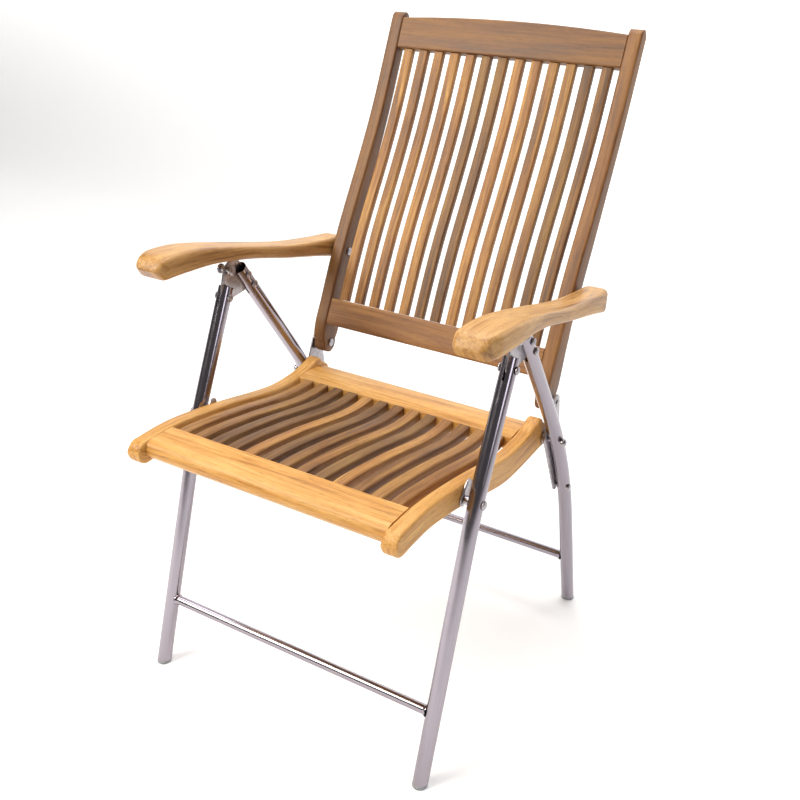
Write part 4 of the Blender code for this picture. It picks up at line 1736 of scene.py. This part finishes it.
@dataclass
class Seat:
    """The slatted seat: two shaped side rails, a rolled front rail, a rear rail and thirteen slats."""

    shop: Workshop
    finishes: Finishes
    inner: float = 0.2175
    rail_w: float = 0.025
    slats: int = 13
    slat_w: float = 0.020
    slat_t: float = 0.019
    slat_front_y: float = 0.0
    slat_rear_y: float = 0.338
    front_rail_t: float = 0.024
    rear_rail_t: float = 0.024
    top_points: tuple[Point, ...] = (
        (-0.055, 0.4735),
        (0.020, 0.4780),
        (0.130, 0.4685),
        (0.270, 0.4500),
        (0.345, 0.4535),
        (0.385, 0.4640),
    )
    bottom_points: tuple[Point, ...] = (
        (0.400, 0.4110),
        (0.270, 0.4040),
        (0.130, 0.4300),
        (0.030, 0.4420),
        (-0.030, 0.4390),
    )

    def top(self) -> list[Point]:
        """The seat's upper line.

        Returns:
            The curve.
        """
        return through(list(self.top_points))

    def side_outline(self) -> list[Point]:
        """A side rail's outline with its round nose and its horn at the rear.

        Returns:
            The closed outline.
        """
        horn, horn_r, end_y = (0.4005, 0.4610), 0.0095, 0.434
        upper = through([*self.top_points, (horn[0] - horn_r * 0.5, horn[1] + horn_r * 0.95)])
        tail = [(end_y - 0.004, 0.4500), (end_y, 0.4400), (end_y, 0.4240), (end_y - 0.008, 0.4125)]
        nose = arc((-0.055, 0.4545), 0.019, -75, -270, 30)[:-1]
        return [*upper, *arc(horn, horn_r, 60, 10, 8), *tail, *through(list(self.bottom_points)), *nose]

    def side_rails(self) -> bpy.types.Mesh:
        """Both side rails.

        Returns:
            The mesh.
        """
        outline = self.side_outline()
        low_y, high_y = min(p[0] for p in outline), max(p[0] for p in outline)
        skin = Skin()
        for side, tone in zip(SIDES, (0.55, 0.40)):
            stations = []
            for y in crowded_ends(low_y, high_y, 110):
                low, high = cut_across(outline, y, 0)
                x = (side * self.inner, side * (self.inner + self.rail_w))
                stations.append(Station((y, low), (y, high), x, y))
            lofted_board(skin, stations, 0.0042, tone)
        return skin.mesh("side_rails")

    def front_rail(self) -> bpy.types.Mesh:
        """The plank that rolls over at the front of the seat.

        Returns:
            The mesh.
        """
        top = self.top()
        start_y = -0.042
        start_z = height_at(top, start_y)
        roll = arc((-0.044, start_z - 0.016), 0.0165, 90, 200, 22)
        steps = [start_y + (self.slat_front_y - start_y) * i / 12 for i in range(1, 13)]
        upper = [(y, height_at(top, y)) for y in steps]
        under = [(-0.048, start_z - 0.0335), (-0.038, start_z - 0.030)]
        low = (self.slat_front_y, upper[-1][1] - self.front_rail_t)
        outline = filleted([*roll[::-1], *upper, low, *under[::-1]], 0.0022)
        inner = self.inner - GAP
        skin = Skin()
        lofted_across(skin, [(-inner + 2 * inner * i / 24, outline) for i in range(25)], 0.62)
        return skin.mesh("front_rail")

    def rear_rail(self) -> bpy.types.Mesh:
        """The rail behind the slats, curling up under the back.

        Returns:
            The mesh.
        """
        front = (self.slat_rear_y, height_at(self.top(), self.slat_rear_y))
        outline = [
            front,
            (0.362, 0.4560),
            (0.395, 0.4560),
            (0.415, 0.4515),
            (0.421, 0.4440),
            (0.421, 0.4340),
            (0.395, 0.4300),
            (self.slat_rear_y, front[1] - self.rear_rail_t),
        ]
        inner = self.inner - GAP
        skin = Skin()
        rounded = filleted(outline, 0.003)
        lofted_across(skin, [(-inner + 2 * inner * i / 24, rounded) for i in range(25)], 0.30)
        return skin.mesh("rear_rail")

    def slat_row(self) -> bpy.types.Mesh:
        """Thirteen slats that follow the seat's dip.

        Returns:
            The mesh.
        """
        top = self.top()
        skin = Skin()
        stations = []
        for y in crowded_ends(self.slat_front_y + GAP, self.slat_rear_y - GAP, 60):
            high = height_at(top, y) - 0.001
            stations.append(
                Station((y, high - self.slat_t), (y, high), (-self.slat_w / 2, self.slat_w / 2), y),
            )
        lofted_board(skin, stations, 0.0030, 0.5)
        gap = (2 * self.inner - self.slats * self.slat_w) / (self.slats + 1)
        pitch = gap + self.slat_w
        values = {
            "Count": self.slats,
            "First": (-self.inner + gap + self.slat_w / 2, 0.0, 0.0),
            "Pitch": (pitch, 0.0, 0.0),
            "Seed": 7,
            "Finish": self.finishes.slat,
        }
        return facing_out(self.shop.generated(skin.mesh("slat", False), self.shop.trees.row, values))

    def build(self) -> None:
        """Makes the seat's wooden pieces."""
        shop, wood = self.shop, self.finishes
        for name, mesh, nodes in (
            ("seat_side_rails", self.side_rails(), both("seat_side_rail")),
            ("seat_front_plank", self.front_rail(), ["seat_front_rail"]),
            ("seat_rear_plank", self.rear_rail(), ["seat_rear_rail"]),
        ):
            shop.piece(name, mesh, wood.seat_frame, Body.SEAT, Slot.SEAT_FRAME, nodes)
        nodes = numbered("seat_slat", self.slats)
        shop.piece("seat_slats", self.slat_row(), wood.slat, Body.SEAT, Slot.SLAT, nodes)


# ---------------------------------------------------------------- back


@dataclass
class Back:
    """The slatted back: two swept stiles, an arched top rail, a bottom rail and thirteen slats."""

    shop: Workshop
    finishes: Finishes
    inner: float = 0.2180
    stile_w: float = 0.025
    slats: int = 13
    slat_w: float = 0.0183
    slat_t: float = 0.0125
    slat_set_back: float = 0.0050
    rail_set_back: float = 0.0015
    rail_t: float = 0.022
    top_rail_z: float = 1.0235
    top_rail_h: float = 0.056
    crown: float = 0.008
    bottom_rail_z: float = 0.534
    bottom_rail_h: float = 0.051
    pivot: Point = (0.438, 0.4915)
    foot_r: float = 0.019
    top_r: float = 0.0135
    front_points: tuple[Point, ...] = (
        (0.4195, 0.4950),
        (0.4155, 0.5080),
        (0.4205, 0.5350),
        (0.4360, 0.5720),
        (0.4645, 0.6440),
        (0.4985, 0.7200),
        (0.5600, 0.8390),
        (0.6020, 0.9300),
        (0.6550, 1.0700),
    )
    rear_points: tuple[Point, ...] = (
        (0.6840, 1.0700),
        (0.6330, 0.9300),
        (0.5920, 0.8320),
        (0.5520, 0.7400),
        (0.5290, 0.6900),
        (0.4990, 0.6250),
        (0.4830, 0.5750),
        (0.4730, 0.5370),
        (0.4650, 0.5090),
        (0.4565, 0.4950),
    )

    def front_edge(self) -> list[Point]:
        """The stiles' front edge.

        Returns:
            The curve, from the foot up.
        """
        return through(list(self.front_points))

    def stile_outline(self) -> list[Point]:
        """A stile's outline.

        Returns:
            The closed outline.
        """
        front, rear = self.front_edge(), through(list(self.rear_points))
        top = ((front[-1][0] + rear[0][0]) / 2, (front[-1][1] + rear[0][1]) / 2)
        way = atan2(front[-1][1] - front[-2][1], front[-1][0] - front[-2][0]) * 180 / pi
        cap = arc(top, self.top_r, way + 80, way - 80, 20)
        return [*front, *cap, *rear, *arc(self.pivot, self.foot_r, 0, -180, 28)]

    def stiles(self) -> bpy.types.Mesh:
        """Both stiles.

        Returns:
            The mesh.
        """
        outline = self.stile_outline()
        low_z, high_z = min(p[1] for p in outline), max(p[1] for p in outline)
        skin = Skin()
        for side, tone in zip(SIDES, (0.62, 0.22)):
            stations = []
            for z in crowded_ends(low_z, high_z, 130):
                near, far = cut_across(outline, z, 1)
                x = (side * self.inner, side * (self.inner + self.stile_w))
                stations.append(Station((near, z), (far, z), x, z))
            lofted_board(skin, stations, 0.0040, tone)
        return skin.mesh("stiles")

    def face(self, start: float, end: float, count: int) -> list[tuple[Vector, Vector, float]]:
        """Places on the front edge.

        Args:
            start: First distance along it.
            end: Last distance.
            count: How many places.

        Returns:
            Each place, the way backwards from it and its distance.
        """
        found = []
        for i in range(count):
            distance = start + (end - start) * i / (count - 1)
            here, _ = point_along(self.front_edge(), distance)
            low, _ = point_along(self.front_edge(), distance - 0.008)
            high, _ = point_along(self.front_edge(), distance + 0.008)
            way = (high - low).normalized()
            found.append((here, Vector((way.y, -way.x)), distance))
        return found

    def bottom_rail(self) -> bpy.types.Mesh:
        """The lower rail, which follows the stiles' sweep.

        Returns:
            The mesh.
        """
        foot = distance_at_height(self.front_edge(), self.bottom_rail_z)
        places = self.face(foot, foot + self.bottom_rail_h, 8)
        near = [tuple(p + back * self.rail_set_back) for p, back, _ in places]
        far = [tuple(p + back * (self.rail_set_back + self.rail_t)) for p, back, _ in places]
        outline = filleted([*near, *far[::-1]], 0.003)
        inner = self.inner - GAP
        skin = Skin()
        lofted_across(skin, [(-inner + 2 * inner * i / 24, outline) for i in range(25)], 0.93)
        return skin.mesh("bottom_rail")

    def top_rail(self) -> bpy.types.Mesh:
        """The upper rail with its arched edge.

        Returns:
            The mesh.
        """
        lower = distance_at_height(self.front_edge(), self.top_rail_z)
        place, way = point_along(self.front_edge(), lower + self.top_rail_h / 2)
        behind = Vector((way.y, -way.x))
        base = place - way * self.top_rail_h / 2 + behind * self.rail_set_back
        half = self.inner - GAP
        outlines = []
        for i in range(33):
            x = -half + 2 * half * i / 32
            high = self.top_rail_h + self.crown * (1 - (x / half) ** 2)
            section = rounded_rectangle(self.rail_t, high, 0.0032)
            outlines.append((x, [tuple(base + behind * d + way * h) for d, h in section]))
        skin = Skin()
        lofted_across(skin, outlines, 0.30)
        return skin.mesh("top_rail")

    def slat_row(self) -> bpy.types.Mesh:
        """Thirteen slats between the rails.

        Returns:
            The mesh.
        """
        foot = distance_at_height(self.front_edge(), self.bottom_rail_z)
        top = distance_at_height(self.front_edge(), self.top_rail_z)
        skin = Skin()
        stations = []
        for place, back, distance in self.face(foot + self.bottom_rail_h + GAP, top - 0.0008, 60):
            low = tuple(place + back * self.slat_set_back)
            high = tuple(place + back * (self.slat_set_back + self.slat_t))
            stations.append(Station(low, high, (-self.slat_w / 2, self.slat_w / 2), distance))
        lofted_board(skin, stations, 0.0024, 0.5)
        gap = (2 * self.inner - self.slats * self.slat_w) / (self.slats + 1)
        values = {
            "Count": self.slats,
            "First": (-self.inner + gap + self.slat_w / 2, 0.0, 0.0),
            "Pitch": (gap + self.slat_w, 0.0, 0.0),
            "Seed": 3,
            "Finish": self.finishes.slat,
        }
        return facing_out(self.shop.generated(skin.mesh("slat", False), self.shop.trees.row, values))

    def build(self) -> None:
        """Makes the back's wooden pieces."""
        shop, wood = self.shop, self.finishes
        for name, mesh, nodes in (
            ("back_stiles", self.stiles(), both("back_stile")),
            ("back_upper_rail", self.top_rail(), ["back_top_rail"]),
            ("back_lower_rail", self.bottom_rail(), ["back_bottom_rail"]),
        ):
            shop.piece(name, mesh, wood.back_frame, Body.BACK, Slot.BACK_FRAME, nodes)
        nodes = numbered("back_slat", self.slats)
        shop.piece("back_slats", self.slat_row(), wood.slat, Body.BACK, Slot.SLAT, nodes)


# ---------------------------------------------------------------- arms


@dataclass
class Arms:
    """Two sculpted arms, each with a notched steel rail in a groove underneath."""

    shop: Workshop
    finishes: Finishes
    inner: float = 0.2475
    track: float = 0.265
    corner: float = 0.0085
    groove_half: float = 0.008
    groove_ends: Point = (0.128, 0.242)
    groove_roof: float = 0.0150
    rail_ends: Point = (0.134, 0.230)
    lock_pin: Point = (0.2125, 0.6985)
    arm_pivot: Point = (0.494, 0.660)
    top_points: tuple[Point, ...] = (
        (0.020, 0.716),
        (0.032, 0.7325),
        (0.062, 0.7370),
        (0.120, 0.7345),
        (0.210, 0.7205),
        (0.350, 0.6950),
        (0.450, 0.6840),
        (0.516, 0.6810),
    )
    bottom_points: tuple[Point, ...] = (
        (0.517, 0.6385),
        (0.450, 0.6530),
        (0.350, 0.6705),
        (0.245, 0.6910),
        (0.160, 0.7015),
        (0.090, 0.7025),
        (0.035, 0.7005),
    )
    plan_points: tuple[Point, ...] = (  # (y, width)
        (0.512, 0.0440),
        (0.450, 0.0480),
        (0.350, 0.0510),
        (0.220, 0.0560),
        (0.120, 0.0640),
        (0.055, 0.0630),
    )

    def side_outline(self) -> list[Point]:
        """An arm seen from the side.

        Returns:
            The closed outline.
        """
        return filleted([*through(list(self.top_points)), *through(list(self.bottom_points))], 0.007, 6)

    def plan_outline(self) -> list[Point]:
        """An arm seen from above, as (y, x) points of the sitter's left arm.

        Returns:
            The closed outline.
        """
        outer = [(y, self.inner + width) for y, width in through(list(self.plan_points))]
        nose = [(0.026, 0.054), (0.017, 0.040), (0.0165, 0.018), (0.026, 0.004), (0.042, 0.0)]
        rear = [(0.508, 0.0), (0.516, 0.006), (0.5175, 0.038)]
        return [*outer, *((y, self.inner + w) for y, w in (*nose, *rear))]

    def arms(self) -> bpy.types.Mesh:
        """Both arms, grooved underneath.

        Returns:
            The mesh.
        """
        outline, plan = self.side_outline(), self.plan_outline()
        low_y = max(min(p[0] for p in outline), min(p[0] for p in plan))
        high_y = min(max(p[0] for p in outline), max(p[0] for p in plan))
        made = []
        for side, tone in zip(SIDES, (0.7, 0.35)):
            stations = []
            for y in crowded_ends(low_y, high_y, 120, 0.0003):
                low, high = cut_across(outline, y, 0)
                near, far = cut_across(plan, y, 0)
                stations.append(Station((y, low), (y, high), (side * near, side * far), y))
            skin = Skin()
            lofted_board(skin, stations, self.corner, tone)
            x = side * self.track
            groove = prism("groove", self.groove(), (x - self.groove_half, x + self.groove_half))
            made.append(self.shop.cut(skin.mesh("arm"), groove))
        return self.shop.merged("arms", made)

    def under(self, start: float, end: float, lift: float) -> list[Point]:
        """The arm's underside between two y values, moved up.

        Args:
            start: First y.
            end: Last y.
            lift: How far up.

        Returns:
            The points.
        """
        line = through(list(self.bottom_points))
        steps = [start + (end - start) * i / 16 for i in range(17)]
        return [(y, height_at(line, y) + lift) for y in steps]

    def groove(self) -> list[Point]:
        """The groove's outline.

        Returns:
            The closed outline.
        """
        a, b = self.groove_ends
        return [*self.under(a, b, -0.004), *self.under(b, a, self.groove_roof)]

    def lock_rails(self) -> bpy.types.Mesh:
        """The notched steel strips over the lock pins.

        Returns:
            The mesh.
        """
        slope = (self.arm_pivot[1] - self.lock_pin[1]) / (self.arm_pivot[0] - self.lock_pin[0])
        tip_z = self.lock_pin[1] + 0.003 + 0.001
        a, b = self.rail_ends
        teeth = [(y, tip_z + slope * (y - self.lock_pin[0])) for y in (b, a)]
        outline = [*self.under(a, b, self.groove_roof - GAP), *teeth]
        made = []
        for side in SIDES:
            reach = (side * (self.track + 0.0022), side * (self.track + 0.0052))
            wide = (side * (self.track - 0.002), side * (self.track + 0.009))
            notches = []
            for i in range(5):
                middle = (self.lock_pin[0] - 0.0165 * i, tip_z - slope * 0.0165 * i)
                notches.append(prism("notch", arc(middle, 0.0045, 0, 360, 32)[:-1], wide))
            made.append(self.shop.cut(prism("rail", outline, reach), *notches))
        return self.shop.merged("lock_rails", made)

    def build(self) -> None:
        """Makes the arms and their rails."""
        shop, kit = self.shop, self.finishes
        shop.piece("arm_planks", self.arms(), kit.arm, Body.ARMS, Slot.ARM, both("arm"))
        nodes = both("arm_lock_rail")
        shop.piece("lock_rails", self.lock_rails(), kit.plate, Body.ARMS, Slot.PLATE, nodes)


# ---------------------------------------------------------------- studio


@dataclass
class Studio:
    """A white sweep, soft lights and the camera."""

    eye: tuple[float, float, float] = (0.7833, -1.0311, 1.1524)
    yaw: float = 29.76
    pitch: float = 23.61
    roll: float = 3.0
    lens: float = 44.04

    def sweep(self, finish: bpy.types.Material) -> None:
        """The floor and the wall it curves up into.

        Args:
            finish: The paint.
        """
        line = [(-6.0, 0.0), (2.2, 0.0), *arc((2.2, 1.6), 1.6, -90, 0, 24), (3.8, 6.0)]
        points = [(x, y, z) for y, z in line for x in (-7.0, 7.0)]
        faces = [(2 * i, 2 * i + 1, 2 * i + 3, 2 * i + 2) for i in range(len(line) - 1)]
        mesh = bpy.data.meshes.new("sweep")
        mesh.from_pydata(points, [], faces)
        mesh.shade_smooth()
        mesh.materials.append(finish)
        made = bpy.data.objects.new("sweep", mesh)
        bpy.context.scene.collection.objects.link(made)

    def light(self, name: str, place: tuple, target: tuple, size: float, power: float, colour: str) -> None:
        """One soft square light.

        Args:
            name: Its name.
            place: Where it hangs.
            target: What it looks at.
            size: Its side.
            power: Its power in watts.
            colour: Its colour.
        """
        data = bpy.data.lights.new(name, "AREA")
        data.shape = "SQUARE"
        data.size = size
        data.energy = power
        data.color = linear(colour)[:3]
        lamp = bpy.data.objects.new(name, data)
        lamp.location = place
        lamp.rotation_euler = (Vector(target) - Vector(place)).to_track_quat("-Z", "Y").to_euler()
        bpy.context.scene.collection.objects.link(lamp)

    def camera(self) -> None:
        """The camera, at three-quarter view from above the sitter's left knee."""
        data = bpy.data.cameras.new("camera")
        data.lens = self.lens
        data.sensor_width = 36.0
        data.clip_start = 0.02
        camera = bpy.data.objects.new("camera", data)
        yaw, pitch, roll = (radians(a) for a in (self.yaw, self.pitch, self.roll))
        forward = Vector((-sin(yaw) * cos(pitch), cos(yaw) * cos(pitch), -sin(pitch)))
        right = Vector((cos(yaw), sin(yaw), 0.0))
        up = right.cross(forward)
        across = right * cos(roll) + up * sin(roll)
        above = up * cos(roll) - right * sin(roll)
        turn = Matrix((across, above, -forward)).transposed().to_4x4()
        eye = Vector(self.eye) + Vector((0.0, DEPTH_SHIFT, 0.0))
        camera.matrix_world = Matrix.Translation(eye) @ turn
        bpy.context.scene.collection.objects.link(camera)
        bpy.context.scene.camera = camera

    def build(self) -> None:
        """Sets up sweep, light and camera."""
        self.sweep(PaintedSweep("matt_white_paint", "#f6f6f6", 0.26, 1.05).make())
        self.light("key", (-1.7, -2.4, 2.6), (0.0, 0.0, 0.55), 1.8, 118.0, "#fffaf0")
        self.light("top", (-0.3, 0.2, 3.0), (0.0, 0.1, 0.5), 2.2, 70.0, "#ffffff")
        self.light("fill", (2.8, -1.4, 1.2), (0.0, 0.0, 0.5), 0.9, 9.0, "#f8f6ff")
        world = bpy.data.worlds.new("studio")
        world.use_nodes = True
        world.node_tree.nodes["Background"].inputs["Color"].default_value = linear("#a8a6a6")
        world.node_tree.nodes["Background"].inputs["Strength"].default_value = 0.30
        bpy.context.scene.world = world
        bpy.context.scene.view_settings.view_transform = "Standard"
        self.camera()


def main() -> None:
    """Builds the chair's looks and the studio."""
    logging.basicConfig(level=logging.INFO, format="%(name)s: %(message)s")
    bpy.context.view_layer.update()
    shop = Workshop()
    finishes = Finishes.make()
    Steelwork(shop, finishes).build()
    Seat(shop, finishes).build()
    Back(shop, finishes).build()
    Arms(shop, finishes).build()
    Studio().build()


if __name__ == "__main__":
    main()
